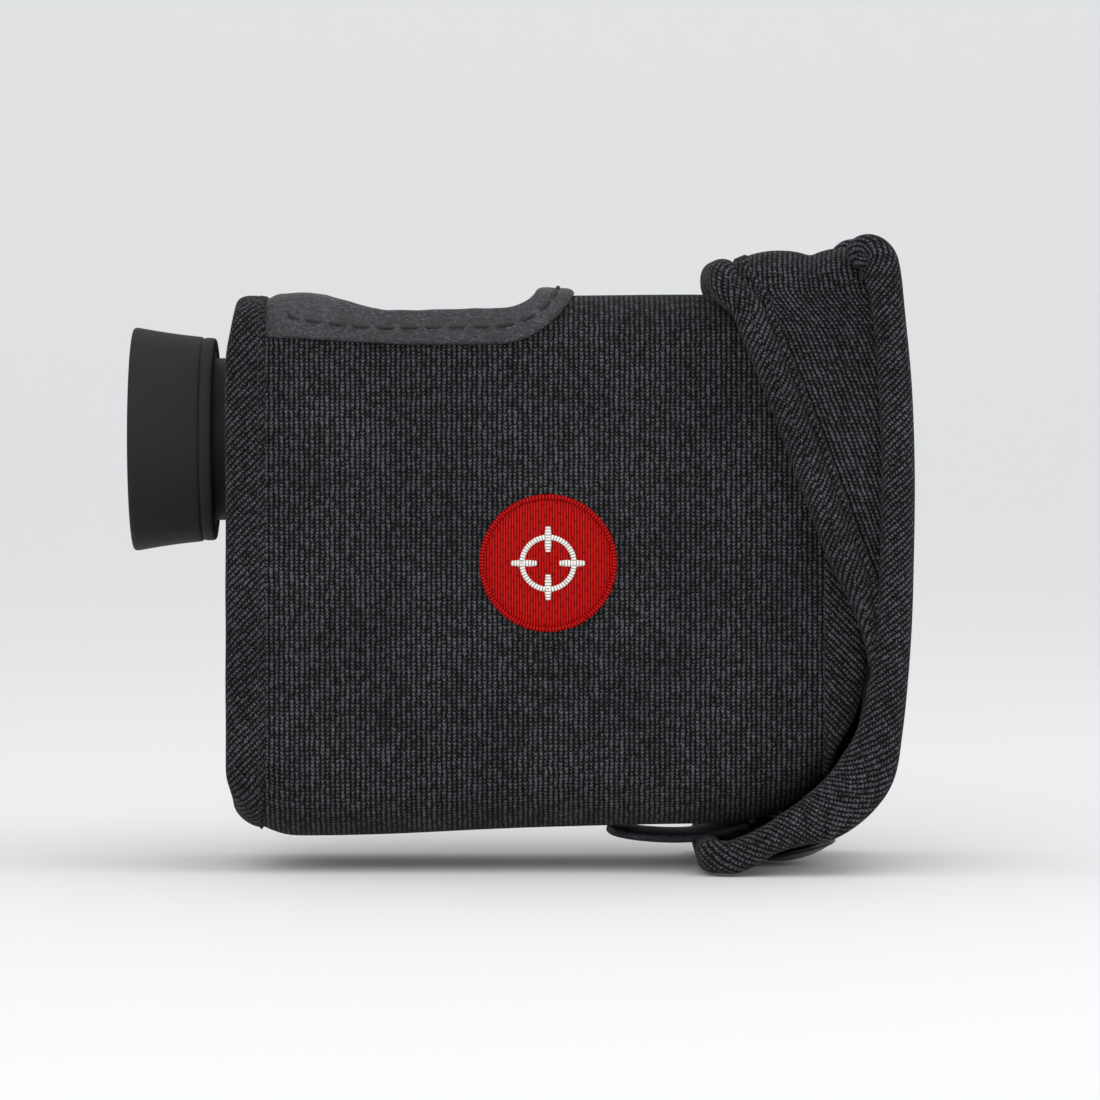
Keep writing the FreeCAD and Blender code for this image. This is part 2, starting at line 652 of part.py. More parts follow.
def snap_cap():
    cap = rod_z(0, 0, -1.75, -0.05, SNAP_RADIUS)
    rim = [e for e in cap.Edges if e.BoundBox.ZMax < -1.7]
    cap = snap_frame(cap.makeFillet(0.8, rim))
    return cap.fuse(snap_post()).removeSplitter()


def snap_socket():
    """Spring ring on the upper face of the tail, round the end of the cap's post."""
    ring = rod_z(0, 0, 3.3, 4.5, 4.2).cut(rod_z(0, 0, 3.7, 6.0, 2.2))
    return snap_frame(ring).cut(tail_panel())


def snap_stud():
    """Ball stud on a base disc that is riveted to the toe of the sleeve."""
    ball = rod_z(0, 0, 4.0, 9.0, 1.7)
    base = rod_z(0, 0, 4.8, 9.0, 3.6)
    stud = snap_frame(ball.fuse(base).removeSplitter())
    return stud.cut(sleeve_outer())


def pull_tab():
    """Thin leather tongue between the tail and the sleeve, free at its rear end."""
    thick = 1.4
    lower = [(13.6, 4.6), (20.0, 3.9), (26.6, 4.4), (30.6, 5.3), (36.0, 6.0)]
    upper = [(x, z + thick) for x, z in reversed(lower)]
    tongue = polygon_prism(lower + upper, -8.0, 8.0)
    upright = [e for e in tongue.Edges if e.BoundBox.XMax < 13.7 and e.BoundBox.ZLength > 1]
    tongue = tongue.makeFillet(4.0, upright)
    return tongue.cut([tail_edge_binding(), tail_panel(), sleeve_outer(0.3)])


# ---------------------------------------------------------------- output
PIECES = {
    "housing_left_shell": lambda: housing_half(1),
    "housing_right_shell": lambda: housing_half(-1),
    "housing_gasket": housing_gasket,
    "front_bezel": front_bezel,
    "housing_screws": housing_screws,
    "lanyard_bar": lanyard_bar,
    "objective_barrel": objective_barrel,
    "objective_lens": objective_lens,
    "laser_barrel": laser_barrel,
    "laser_lens": laser_lens,
    "laser_module": laser_module,
    "receiver_detector": receiver_detector,
    "roof_prism": roof_prism,
    "prism_holder": prism_holder,
    "display_module": display_module,
    "eyepiece_tube": eyepiece_tube,
    "ocular_cell": ocular_cell,
    "ocular_lenses": ocular_lenses,
    "diopter_ring": diopter_ring,
    "eyecup": eyecup,
    "measure_button": measure_button,
    "mode_button": mode_button,
    "button_seal": button_seal,
    "tact_switches": tact_switches,
    "switch_board": switch_board,
    "main_circuit_board": main_circuit_board,
    "battery": battery,
    "battery_tube": battery_tube,
    "battery_contact_spring": contact_spring,
    "battery_cap": battery_cap,
    "battery_cap_seal": battery_cap_seal,
    "sleeve_body": sleeve_body,
    "sleeve_front_binding": sleeve_front_binding,
    "sleeve_rear_binding": sleeve_rear_binding,
    "window_leather_trim": window_trim,
    "round_patch": round_patch,
    "hood_front_panel": hood_front_panel,
    "hood_roof_panel": hood_roof_panel,
    "hood_left_gusset": lambda: hood_gusset(1),
    "hood_right_gusset": lambda: hood_gusset(-1),
    "hood_left_edge_binding": lambda: hood_edge_binding(1),
    "hood_right_edge_binding": lambda: hood_edge_binding(-1),
    "hood_mouth_binding": hood_mouth_binding,
    "tail_panel": tail_panel,
    "tail_edge_binding": tail_edge_binding,
    "snap_cap": snap_cap,
    "snap_socket": snap_socket,
    "snap_stud": snap_stud,
    "pull_tab": pull_tab,
}

os.makedirs("parts", exist_ok=True)
for name, make in PIECES.items():
    make().exportStep("parts/" + name + ".step")
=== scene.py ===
"""Soft sleeve, trims and finishes of a compact laser rangefinder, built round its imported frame.

Lengths in this file are in millimetres unless a name ends in _m; meshes are written in metres.
+X points at the target, -Y is the side with the round patch and +Z is up.
"""
import json
import math
import bmesh
import bpy
from mathutils import Matrix, Vector, noise


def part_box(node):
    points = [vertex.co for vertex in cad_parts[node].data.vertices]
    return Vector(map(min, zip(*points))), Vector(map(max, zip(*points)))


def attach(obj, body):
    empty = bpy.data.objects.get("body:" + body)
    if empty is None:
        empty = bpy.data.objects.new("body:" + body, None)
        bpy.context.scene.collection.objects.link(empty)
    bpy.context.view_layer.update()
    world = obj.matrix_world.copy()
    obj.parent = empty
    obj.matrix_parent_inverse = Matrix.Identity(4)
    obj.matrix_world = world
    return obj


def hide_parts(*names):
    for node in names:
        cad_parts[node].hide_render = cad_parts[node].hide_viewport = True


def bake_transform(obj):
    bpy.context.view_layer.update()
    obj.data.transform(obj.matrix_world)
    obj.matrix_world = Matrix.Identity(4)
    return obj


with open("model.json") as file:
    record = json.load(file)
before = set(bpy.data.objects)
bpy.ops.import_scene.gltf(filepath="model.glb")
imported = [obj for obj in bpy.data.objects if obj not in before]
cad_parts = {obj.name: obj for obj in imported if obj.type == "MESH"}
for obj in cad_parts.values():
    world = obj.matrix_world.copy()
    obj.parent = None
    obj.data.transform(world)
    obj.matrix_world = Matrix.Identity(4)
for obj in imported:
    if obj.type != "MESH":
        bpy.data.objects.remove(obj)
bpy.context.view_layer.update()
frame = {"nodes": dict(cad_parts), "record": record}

bl_info = {
    "name": "Rangefinder Sleeve",
    "version": (1, 0, 0),
    "blender": (4, 5, 0),
    "location": "View3D > Sidebar > Rangefinder",
    "description": "Builds the sewn sleeve, hood, trims and finishes of a laser rangefinder",
    "category": "Object",
}

MM = 0.001                               # one millimetre, in metres


def span(node):
    """The lowest and highest corner of a frame node, in millimetres."""
    low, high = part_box(node)
    return low / MM, high / MM


BODY_LOW, BODY_HIGH = span("sleeve_body")
REAR_LOW = span("sleeve_rear_binding")[0]
FRONT_HIGH = span("sleeve_front_binding")[1]
TRIM_LOW, TRIM_HIGH = span("window_leather_trim")
PATCH_LOW, PATCH_HIGH = span("round_patch")
ROLL_LOW, ROLL_HIGH = span("hood_right_edge_binding")
MOUTH_LOW, MOUTH_HIGH = span("hood_mouth_binding")
CUP_LOW, CUP_HIGH = span("eyecup")
TAB_LOW, TAB_HIGH = span("pull_tab")

# ---------------------------------------------------------------- shape of the cloth tube
HALF_WIDTH = BODY_HIGH.y
TUBE_TOP = BODY_HIGH.z
TUBE_BOTTOM = BODY_LOW.z
TUBE_CORNER = 9.5
TOE_RADIUS = 22.0
TOE_X = FRONT_HIGH.x - TOE_RADIUS
TOE_Z = TUBE_BOTTOM + TOE_RADIUS
REAR_SEAM = BODY_LOW.x
FRONT_SEAM = BODY_HIGH.x
TOE_EDGE_X = 48.6                        # lower edge of the front opening
CORNER_ARC = TUBE_CORNER * math.pi / 2
FLAT_TOP = HALF_WIDTH - TUBE_CORNER

# ---------------------------------------------------------------- shape of the hood's strip
ROLL_DEPTH, ROLL_THICK = 5.2, 3.0
ROLL_FULL = 4.2                          # the rolls' thickness with their soft filling
PANEL_INSET, PANEL_THICK = 1.0, 3.2
PANEL_HALF = max(abs(ROLL_LOW.y), abs(ROLL_HIGH.y)) - ROLL_THICK

# ---------------------------------------------------------------- view
CAMERA_AIM = Vector((4.7, 0.0, 48.9))
FIELD_WIDTH = 172.6                      # what the frame spans at the middle of the object
SENSOR_WIDTH = 36.0


# ---------------------------------------------------------------- small tools
def colour(code):
    """An sRGB hex value as linear red, green, blue and alpha."""
    parts = [int(code[i:i + 2], 16) / 255 for i in (1, 3, 5)]
    linear = [c / 12.92 if c <= 0.04045 else ((c + 0.055) / 1.055) ** 2.4 for c in parts]
    return (*linear, 1.0)


def on_circle(x, z, radius, degrees):
    angle = math.radians(degrees)
    return x + radius * math.cos(angle), z + radius * math.sin(angle)


def mix(a, b, t):
    return a + (b - a) * t


def smooth(t):
    t = min(max(t, 0.0), 1.0)
    return t * t * (3 - 2 * t)


def rounded(count, power=2.4):
    """Points of a closed superellipse of half size one, anticlockwise."""
    points = []
    for i in range(count):
        angle = 2 * math.pi * i / count
        c, s = math.cos(angle), math.sin(angle)
        points.append((math.copysign(abs(c) ** (2 / power), c),
                       math.copysign(abs(s) ** (2 / power), s)))
    return points


def piece_from(name, points, faces, uvs=None):
    """A mesh object at the origin from points in millimetres; uvs are in millimetres too."""
    mesh = bpy.data.meshes.new(name)
    mesh.from_pydata([Vector(p) * MM for p in points], [], faces)
    if uvs:
        layer = mesh.uv_layers.new(name="cloth_mm")
        flat = [value for face in uvs for corner in face for value in corner]
        layer.data.foreach_set("uv", flat)
    mesh.shade_smooth()
    piece = bpy.data.objects.new(name, mesh)
    bpy.context.scene.collection.objects.link(piece)
    return piece


def loft(name, rows, ring=False, loop=False, caps=False, skip=None, uv=None, away=None):
    """Quads through rows of points. ring closes each row, loop joins the last row to the first.

    skip leaves out quads by (row, column), uv gives a point's cloth place by (row, column), and
    away is a point that the faces look away from.
    """
    height, width = len(rows), len(rows[0])
    along = [[0.0] for _ in rows]
    for i, row in enumerate(rows):
        for j in range(width):
            gap = (Vector(row[(j + 1) % width]) - Vector(row[j])).length
            along[i].append(along[i][-1] + gap)
    across = [0.0]
    for i in range(height):
        nearest, here = rows[(i + 1) % height], rows[i]
        gap = sum((Vector(nearest[j]) - Vector(here[j])).length for j in range(width)) / width
        across.append(across[-1] + gap)
    place = uv or (lambda i, j: (across[i], along[i % height][j]))
    faces, uvs = [], []
    for i in range(height if loop else height - 1):
        for j in range(width if ring else width - 1):
            if skip and skip(i, j):
                continue
            corners = [(i, j), (i, j + 1), (i + 1, j + 1), (i + 1, j)]
            faces.append([(a % height) * width + b % width for a, b in corners])
            uvs.append([place(a, b) for a, b in corners])
    if caps:
        for i in (0, height - 1):
            order = range(width) if i else range(width - 1, -1, -1)
            faces.append([i * width + j for j in order])
            uvs.append([place(i, j) for j in order])
    piece = piece_from(name, [p for row in rows for p in row], faces, uvs)
    shell = bmesh.new()
    shell.from_mesh(piece.data)
    if away is not None:
        centre = Vector(away) * MM
        score = sum(f.normal.dot(f.calc_center_median() - centre) for f in shell.faces)
        if score < 0:
            bmesh.ops.reverse_faces(shell, faces=shell.faces[:])
    else:
        bmesh.ops.recalc_face_normals(shell, faces=shell.faces[:])
    shell.to_mesh(piece.data)
    shell.free()
    return piece


def tube(name, centres, ups, halves, thickness, count=14, loop=False, power=2.4):
    """A flattened roll along a path. halves are the half widths along ups."""
    rows, total = [], len(centres)
    for i, centre in enumerate(centres):
        before = centres[(i - 1) % total] if loop or i else centre
        after = centres[(i + 1) % total] if loop or i < total - 1 else centre
        tangent = (after - before).normalized()
        up = (ups[i] - tangent * ups[i].dot(tangent)).normalized()
        side = tangent.cross(up)
        thick = thickness[i] if isinstance(thickness, list) else thickness
        rows.append([centre + up * halves[i] * a + side * thick / 2 * b
                     for a, b in rounded(count, power)])
    return loft(name, rows, ring=True, loop=loop, caps=not loop)


def add_modifier(piece, kind, **settings):
    modifier = piece.modifiers.new(kind.title(), kind)
    for key, value in settings.items():
        setattr(modifier, key, value)
    return modifier


def round_off(piece, level=1):
    add_modifier(piece, "SUBSURF", levels=level, render_levels=level)


def thicken(piece, thickness):
    add_modifier(piece, "SOLIDIFY", thickness=thickness * MM, offset=-1.0, use_even_offset=False)


def apply_stack(piece):
    """Bakes the modifiers into the mesh."""
    graph = bpy.context.evaluated_depsgraph_get()
    done = bpy.data.meshes.new_from_object(piece.evaluated_get(graph))
    piece.modifiers.clear()
    piece.data = done


def finish_piece(piece, material, slot, body=None, replaces=()):
    piece.data.materials.clear()
    piece.data.materials.append(material)
    if body:
        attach(piece, body)
    if replaces:
        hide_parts(*replaces)
    return piece


def stitches(name, path, normals, pitch, length, radius):
    """A row of short thread stitches along a path, sunk a little at both ends."""
    lengths = [0.0]
    for a, b in zip(path, path[1:]):
        lengths.append(lengths[-1] + (b - a).length)

    def at(distance):
        for i in range(len(path) - 1):
            if distance <= lengths[i + 1]:
                t = (distance - lengths[i]) / max(lengths[i + 1] - lengths[i], 1e-6)
                return path[i].lerp(path[i + 1], t), normals[i].lerp(normals[i + 1], t)
        return path[-1], normals[-1]

    points, faces = [], []
    sides, stops = 6, [(0.0, -0.9, 0.5), (0.18, 0.1, 1.0), (0.5, 0.35, 1.05), (0.82, 0.1, 1.0),
                       (1.0, -0.9, 0.5)]
    for k in range(int(lengths[-1] / pitch)):
        start = pitch * (k + 0.5) - length / 2
        first = len(points)
        ahead = at(start + length)[0] - at(start)[0]
        ahead.normalize()
        for t, lift, size in stops:
            centre, normal = at(start + t * length)
            side = ahead.cross(normal).normalized()
            centre = centre + normal * lift * radius
            for j in range(sides):
                turn = 2 * math.pi * j / sides
                offset = side * math.cos(turn) + normal * math.sin(turn)
                points.append(centre + offset * radius * size)
        for i in range(len(stops) - 1):
            for j in range(sides):
                a, b = first + i * sides + j, first + i * sides + (j + 1) % sides
                faces.append([a, b, b + sides, a + sides])
        faces.append([first + j for j in reversed(range(sides))])
        faces.append([first + (len(stops) - 1) * sides + j for j in range(sides)])
    piece = piece_from(name, points, faces)
    shell = bmesh.new()
    shell.from_mesh(piece.data)
    bmesh.ops.recalc_face_normals(shell, faces=shell.faces[:])
    shell.to_mesh(piece.data)
    shell.free()
    return piece


# ---------------------------------------------------------------- materials
def add_node(tree, kind, inputs=None, **settings):
    """Adds a node; inputs maps a socket's name or number to a value or another node's socket."""
    node = tree.nodes.new(kind)
    for key, value in settings.items():
        setattr(node, key, value)
    for key, value in (inputs or {}).items():
        socket = node.inputs[key]
        if isinstance(value, bpy.types.NodeSocket):
            tree.links.new(value, socket)
        else:
            socket.default_value = value
    return node


def math_node(tree, operation, *values):
    """The result socket of one sum on sockets or numbers."""
    inputs = dict(enumerate(values))
    return add_node(tree, "ShaderNodeMath", inputs, operation=operation).outputs[0]


def ramp(tree, factor, stops):
    """The colour socket of a ramp through (position, hex colour) stops."""
    node = add_node(tree, "ShaderNodeValToRGB", {0: factor})
    elements = node.color_ramp.elements
    while len(elements) < len(stops):
        elements.new(0.5)
    for element, (position, code) in zip(elements, stops):
        element.position = position
        element.color = colour(code)
    return node.outputs["Color"]


def shader(name, **sockets):
    """A new material with one principled shader, and its constant sockets."""
    material = bpy.data.materials.new(name)
    material.use_nodes = True
    tree = material.node_tree
    principled = tree.nodes["Principled BSDF"]
    for key, value in sockets.items():
        principled.inputs[key.replace("_", " ")].default_value = value
    return material, tree, principled


def wire_bump(tree, principled, height, distance, strength=1.0):
    bump = add_node(tree, "ShaderNodeBump",
                    {"Height": height, "Distance": distance * MM, "Strength": strength})
    tree.links.new(bump.outputs["Normal"], principled.inputs["Normal"])


def object_noise(tree, size, detail=2.0, roughness=0.5):
    """Noise over the piece's own coordinates, with bumps of a size in millimetres."""
    place = add_node(tree, "ShaderNodeTexCoord").outputs["Object"]
    return add_node(tree, "ShaderNodeTexNoise", {
        "Vector": place, "Scale": 1 / (size * MM), "Detail": detail,
        "Roughness": roughness}).outputs[0]


def knit_cloth(name, pitch, turn_degrees, dark, mid, light, bump=0.22):
    """Polyester warp knit laminated over foam, in ribs of small slanted loops.

    The ribs get faint painted shade between them, the loose filaments a fine tooth, and a loop here
    and there a painted glint. The pattern follows the cloth's own map, in millimetres.
    """
    material, tree, principled = shader(name, Roughness=0.9, Sheen_Weight=0.03,
                                        Sheen_Roughness=0.5, Specular_IOR_Level=0.12)
    place = add_node(tree, "ShaderNodeUVMap", uv_map="cloth_mm").outputs[0]
    turned = add_node(tree, "ShaderNodeVectorRotate",
                      {"Vector": place, "Angle": math.radians(turn_degrees)},
                      rotation_type="Z_AXIS").outputs[0]
    wobble = object_noise(tree, 1.4286, 3.0)
    split = add_node(tree, "ShaderNodeSeparateXYZ", {0: turned})
    column = math_node(tree, "DIVIDE", math_node(
        tree, "MULTIPLY_ADD", wobble, 0.5, split.outputs["X"]), pitch)
    from_middle = math_node(tree, "ABSOLUTE", math_node(
        tree, "SUBTRACT", math_node(tree, "FRACT", column), 0.5))
    rib = math_node(tree, "SUBTRACT", 1.0, math_node(tree, "POWER", math_node(
        tree, "MULTIPLY", from_middle, 2.0), 2.4))
    course = math_node(tree, "MULTIPLY_ADD", wobble, 1.2, math_node(
        tree, "DIVIDE", split.outputs["Y"], pitch * 0.72))
    slanted = math_node(tree, "MULTIPLY_ADD", from_middle, 1.3, course)
    wave = math_node(tree, "SINE", math_node(tree, "MULTIPLY", slanted, 2 * math.pi))
    loops = math_node(tree, "MULTIPLY", rib, math_node(tree, "MULTIPLY_ADD", wave, 0.22, 0.78))
    loop_place = add_node(tree, "ShaderNodeCombineXYZ", {
        0: math_node(tree, "FLOOR", column), 1: math_node(tree, "FLOOR", slanted)})
    # Painted glints: a random value per loop lifts some loops toward the glint colour.
    painted_glint_chance = add_node(tree, "ShaderNodeTexWhiteNoise", {0: loop_place.outputs[0]}).outputs[0]
    fuzz = object_noise(tree, 0.1923, 2.0, 0.7)
    tone = math_node(tree, "MULTIPLY_ADD", loops, 0.4, math_node(tree, "MULTIPLY", fuzz, 0.6))
    tone = math_node(tree, "MULTIPLY_ADD", painted_glint_chance, 0.12, tone)
    # The ramp paints shade between the ribs in the dark colour and glints in the light colour.
    soft = ramp(tree, tone, [(0.44, dark), (0.6, mid), (0.82, light)])
    cloud = object_noise(tree, 18.18, 3.0)
    worn = ramp(tree, cloud, [(0.35, "#d8d8da"), (0.7, "#ffffff")])
    shade = add_node(tree, "ShaderNodeMix", data_type="RGBA", blend_type="MULTIPLY")
    shade.inputs[0].default_value = 1.0
    tree.links.new(soft, shade.inputs[6])
    tree.links.new(worn, shade.inputs[7])
    tree.links.new(shade.outputs[2], principled.inputs["Base Color"])
    wire_bump(tree, principled, tone, bump)
    return material


def moulded(name, base, fleck, roughness, grain=0.35, depth=0.05, **sockets):
    """Injection-moulded part with a fine spark-eroded grain, which breaks up its highlights."""
    material, tree, principled = shader(name, **sockets)
    fine = object_noise(tree, grain, 3.0, 0.65)
    broad = object_noise(tree, 22.22, 3.0)
    blend = math_node(tree, "MULTIPLY_ADD", broad, 0.5, math_node(tree, "MULTIPLY", fine, 0.5))
    tree.links.new(ramp(tree, blend, [(0.3, base), (0.75, fleck)]), principled.inputs["Base Color"])
    tree.links.new(math_node(tree, "MULTIPLY_ADD", broad, 0.22, roughness - 0.11),
                   principled.inputs["Roughness"])
    wire_bump(tree, principled, fine, depth)
    return material


def creased_leather(name, dark, mid, light, crease_width=2 / 3):
    """Drum-dyed cowhide: a fine pore grain with drawn-out creases, painted paler on the ridges as
    highlight and darker in the creases as shade.
    """
    material, tree, principled = shader(name, Specular_IOR_Level=0.42)
    place = add_node(tree, "ShaderNodeTexCoord").outputs["Object"]
    drawn = add_node(tree, "ShaderNodeMapping", {"Vector": place, "Rotation": (0.0, 0.62, 0.0),
                                                 "Scale": (1.0, 1.0, 2.6)}).outputs[0]
    crease = add_node(tree, "ShaderNodeTexNoise", {
        "Vector": drawn, "Scale": 1 / (crease_width * MM), "Detail": 3.0, "Roughness": 0.62,
        "Distortion": 0.6}).outputs[0]
    pores = object_noise(tree, 0.4167, 2.0)
    broad = object_noise(tree, 6.25, 2.0)
    height = math_node(tree, "MULTIPLY_ADD", pores, 0.3, math_node(
        tree, "MULTIPLY_ADD", broad, 0.12, math_node(tree, "MULTIPLY", crease, 0.72)))
    # Painted highlight and shade: the ramp lightens the ridges and darkens the creases by height.
    tree.links.new(ramp(tree, height, [(0.42, dark), (0.58, mid), (0.76, light)]),
                   principled.inputs["Base Color"])
    tree.links.new(math_node(tree, "MULTIPLY_ADD", height, -0.3, 0.72),
                   principled.inputs["Roughness"])
    wire_bump(tree, principled, height, 0.3)
    return material


def satin_stitch(name, dark, mid, light, thread=0.42, run=4.2):
    """Rayon thread laid in dense parallel runs, with a painted highlight along each thread and
    painted shade at its edges and where it dips.
    """
    material, tree, principled = shader(name, Roughness=0.55, Specular_IOR_Level=0.08,
                                        Anisotropic=0.4)
    place = add_node(tree, "ShaderNodeUVMap", uv_map="cloth_mm").outputs[0]
    split = add_node(tree, "ShaderNodeSeparateXYZ", {0: place})
    column = math_node(tree, "DIVIDE", split.outputs["X"], thread)
    fraction = math_node(tree, "FRACT", column)
    away = math_node(tree, "ABSOLUTE", math_node(tree, "SUBTRACT", fraction, 0.5))
    strand = math_node(tree, "SUBTRACT", 1.0, math_node(tree, "POWER", math_node(
        tree, "MULTIPLY", away, 2.0), 2.0))
    brick = math_node(tree, "MULTIPLY", math_node(tree, "FLOOR", column), 0.382)
    dip = math_node(tree, "FRACT", math_node(tree, "ADD", brick, math_node(
        tree, "DIVIDE", split.outputs["Y"], run)))
    dip = math_node(tree, "ABSOLUTE", math_node(tree, "SUBTRACT", dip, 0.5))
    dip = add_node(tree, "ShaderNodeMapRange", {0: dip, 1: 0.0, 2: 0.08}).outputs[0]
    # Painted highlight and shade: each thread's crown is ramped light, its edges and dips dark.
    height = math_node(tree, "MULTIPLY", strand, math_node(tree, "MULTIPLY_ADD", dip, 0.6, 0.4))
    tree.links.new(ramp(tree, height, [(0.1, dark), (0.55, mid), (1.0, light)]),
                   principled.inputs["Base Color"])
    wire_bump(tree, principled, height, 0.16)
    return material


def coated_glass(name, tint, roughness=0.03):
    """Optical glass with a thin anti-reflection coating, which tints what it reflects."""
    material, tree, principled = shader(name, Roughness=roughness, IOR=1.52, Coat_Weight=0.6,
                                        Coat_Roughness=0.02, Transmission_Weight=0.55)
    mottle = object_noise(tree, 11.11, 1.0)
    tree.links.new(ramp(tree, mottle, [(0.3, tint[0]), (0.7, tint[1])]),
                   principled.inputs["Base Color"])
    return material


def machined(name, base, pale, roughness, line_width=1 / 3):
    """Turned or drawn metal with fine tool lines that stretch its highlights."""
    material, tree, principled = shader(name, Metallic=1.0)
    place = add_node(tree, "ShaderNodeTexCoord").outputs["Object"]
    stretched = add_node(tree, "ShaderNodeMapping", {"Vector": place, "Scale": (1.0, 0.08, 0.08)})
    lines = add_node(tree, "ShaderNodeTexNoise", {
        "Vector": stretched.outputs[0], "Scale": 1 / (line_width * MM), "Detail": 3.0}).outputs[0]
    tree.links.new(ramp(tree, lines, [(0.3, base), (0.8, pale)]), principled.inputs["Base Color"])
    tree.links.new(math_node(tree, "MULTIPLY_ADD", lines, 0.2, roughness - 0.1),
                   principled.inputs["Roughness"])
    wire_bump(tree, principled, lines, 0.01)
    return material


# ---------------------------------------------------------------- the cloth tube
def tube_bottom(x):
    """Height of the tube's underside: flat, then up round the toe."""
    if x <= TOE_X:
        return TUBE_BOTTOM
    return TOE_Z - math.sqrt(max(TOE_RADIUS ** 2 - (x - TOE_X) ** 2, 0.0))


def tube_ring(bottom, corner_steps=9, side_steps=14, flat_steps=8):
    """(y, z), outward normal and distance from the roof's middle, all the way round a section."""
    ring = []

    def add(y, z, ny, nz):
        gap = math.hypot(y - ring[-1][0], z - ring[-1][1]) if ring else 0.0
        ring.append((y, z, ny, nz, (ring[-1][4] if ring else 0.0) + gap))

    corner_y, high_z, low_z = FLAT_TOP, TUBE_TOP - TUBE_CORNER, bottom + TUBE_CORNER
    for i in range(flat_steps):
        add(-corner_y * i / flat_steps, TUBE_TOP, 0, 1)
    for i in range(corner_steps):
        a = math.pi / 2 * i / corner_steps
        add(-corner_y - TUBE_CORNER * math.sin(a), high_z + TUBE_CORNER * math.cos(a),
            -math.sin(a), math.cos(a))
    for i in range(side_steps):
        add(-HALF_WIDTH, mix(high_z, low_z, i / side_steps), -1, 0)
    for i in range(corner_steps):
        a = math.pi / 2 * i / corner_steps
        add(-corner_y - TUBE_CORNER * math.cos(a), low_z - TUBE_CORNER * math.sin(a),
            -math.cos(a), -math.sin(a))
    for i in range(flat_steps):
        add(-corner_y * (1 - i / flat_steps), bottom, 0, -1)
    half = ring[:]
    middle = half[-1][4] + corner_y / flat_steps
    ring.append((0.0, bottom, 0, -1, middle))
    for y, z, ny, nz, s in reversed(half[1:]):
        ring.append((-y, z, -ny, nz, 2 * middle - s))
    return ring


def soft_tube(x, y, z, ny, nz):
    """Moves a point of the tube as the stretched foam does: fuller sides, a hollow underside."""
    along = (x - REAR_SEAM) / (FRONT_SEAM - REAR_SEAM)
    up = (z - TUBE_BOTTOM) / (TUBE_TOP - TUBE_BOTTOM)
    arch = math.sin(math.pi * min(max(along, 0.0), 1.0))
    puff = 0.45 * abs(ny) * math.sin(math.pi * min(max(up, 0.0), 1.0)) * arch
    puff += 0.75 * max(nz, 0.0) * smooth((x + 24.0) / 30.0)
    sag = -1.7 * smooth((x + 41.5) / 6.0) * (1 - smooth((x + 38.0) / 66.0)) * smooth(1 - up / 0.3)
    swell = 0.22 * noise.noise(Vector((x * 0.045, y * 0.05, z * 0.05)))
    return Vector((x, y + ny * (puff + swell), z + nz * (puff + swell) + sag))


def on_tube(x, s):
    """A point and outward normal on the tube, s millimetres round from the roof's middle."""
    side = -1.0 if s < 0 else 1.0
    reach = abs(s)
    if reach <= FLAT_TOP:
        y, z, ny, nz = side * reach, TUBE_TOP, 0.0, 1.0
    elif reach <= FLAT_TOP + CORNER_ARC:
        a = (reach - FLAT_TOP) / TUBE_CORNER
        y = side * (FLAT_TOP + TUBE_CORNER * math.sin(a))
        z = TUBE_TOP - TUBE_CORNER * (1 - math.cos(a))
        ny, nz = side * math.sin(a), math.cos(a)
    else:
        y, z = side * HALF_WIDTH, TUBE_TOP - TUBE_CORNER - (reach - FLAT_TOP - CORNER_ARC)
        ny, nz = side, 0.0
    return soft_tube(x, y, z, ny, nz), Vector((0.0, ny, nz))


def cloth_tube(settings):
    """The main panel, from under the rear binding to under the front one, without the window."""
    first, last, steps = REAR_SEAM - 1.5, FRONT_SEAM + 1.5, 44
    window = (TRIM_LOW.x + 6.0, TRIM_HIGH.x - 5.0)
    stations = [mix(first, last, i / steps) for i in range(steps + 1)]
    rings = [tube_ring(tube_bottom(x)) for x in stations]
    rows = [[soft_tube(x, *point[:4]) for point in ring] for x, ring in zip(stations, rings)]
    width = len(rows[0])

    def in_window(i, j):
        x = (stations[i] + stations[i + 1]) / 2
        a, b = rows[i][j], rows[i][(j + 1) % width]
        high = min(a.z, b.z) > TUBE_TOP - 4.2
        return window[0] < x < window[1] and high and abs(a.y + b.y) / 2 < 18.0

    def place(i, j):
        ring = rings[i]
        around = ring[j][4] if j < width else ring[-1][4] + FLAT_TOP / 8
        return stations[i], around

    piece = loft("sleeve_cloth", rows, ring=True, skip=in_window, uv=place, away=(0, 0, 45))
    thicken(piece, settings.thickness / MM)
    round_off(piece)
    return piece


FOLD_SECTION = [(0.0, 0.05), (0.1, 0.62), (0.3, 0.95), (0.6, 1.0), (0.85, 0.72), (1.0, -0.1),
                (1.0, -1.4), (0.9, -2.6), (0.66, -3.25), (0.3, -3.3), (0.0, -3.05), (-0.08, -1.5)]


def rear_binding():
    """Bias tape folded over the rear edge, a little fuller than the cloth."""
    ring = tube_ring(TUBE_BOTTOM)
    reach = REAR_SEAM - REAR_LOW.x
    rows = []
    for y, z, ny, nz, _ in ring:
        flat = abs(nz)
        curl = 2.6 * smooth(flat) if nz < 0 else 0.0
        drift = 0.25 * noise.noise(Vector((y * 0.12, z * 0.12, 3.0)))
        width = reach - (1.3 if nz > 0 else 0.9) * smooth(flat) + drift
        rows.append([Vector((REAR_SEAM - t * width, y + ny * d * 0.75,
                             z + nz * d * 0.75 + curl * t * t))
                     for t, d in FOLD_SECTION])
    piece = loft("rear_edge_tape", rows, ring=True, loop=True)
    round_off(piece)
    return piece


def rim_point(seam_point):
    """Where the front edge of the tube is, level with a point on the front seam."""
    y, z, _, nz = seam_point
    low = smooth((TOE_Z + 2.0 - z) / 16.0)
    return Vector((mix(FRONT_HIGH.x + 0.5, TOE_EDGE_X, low), y, z + 3.0 * low * abs(nz)))


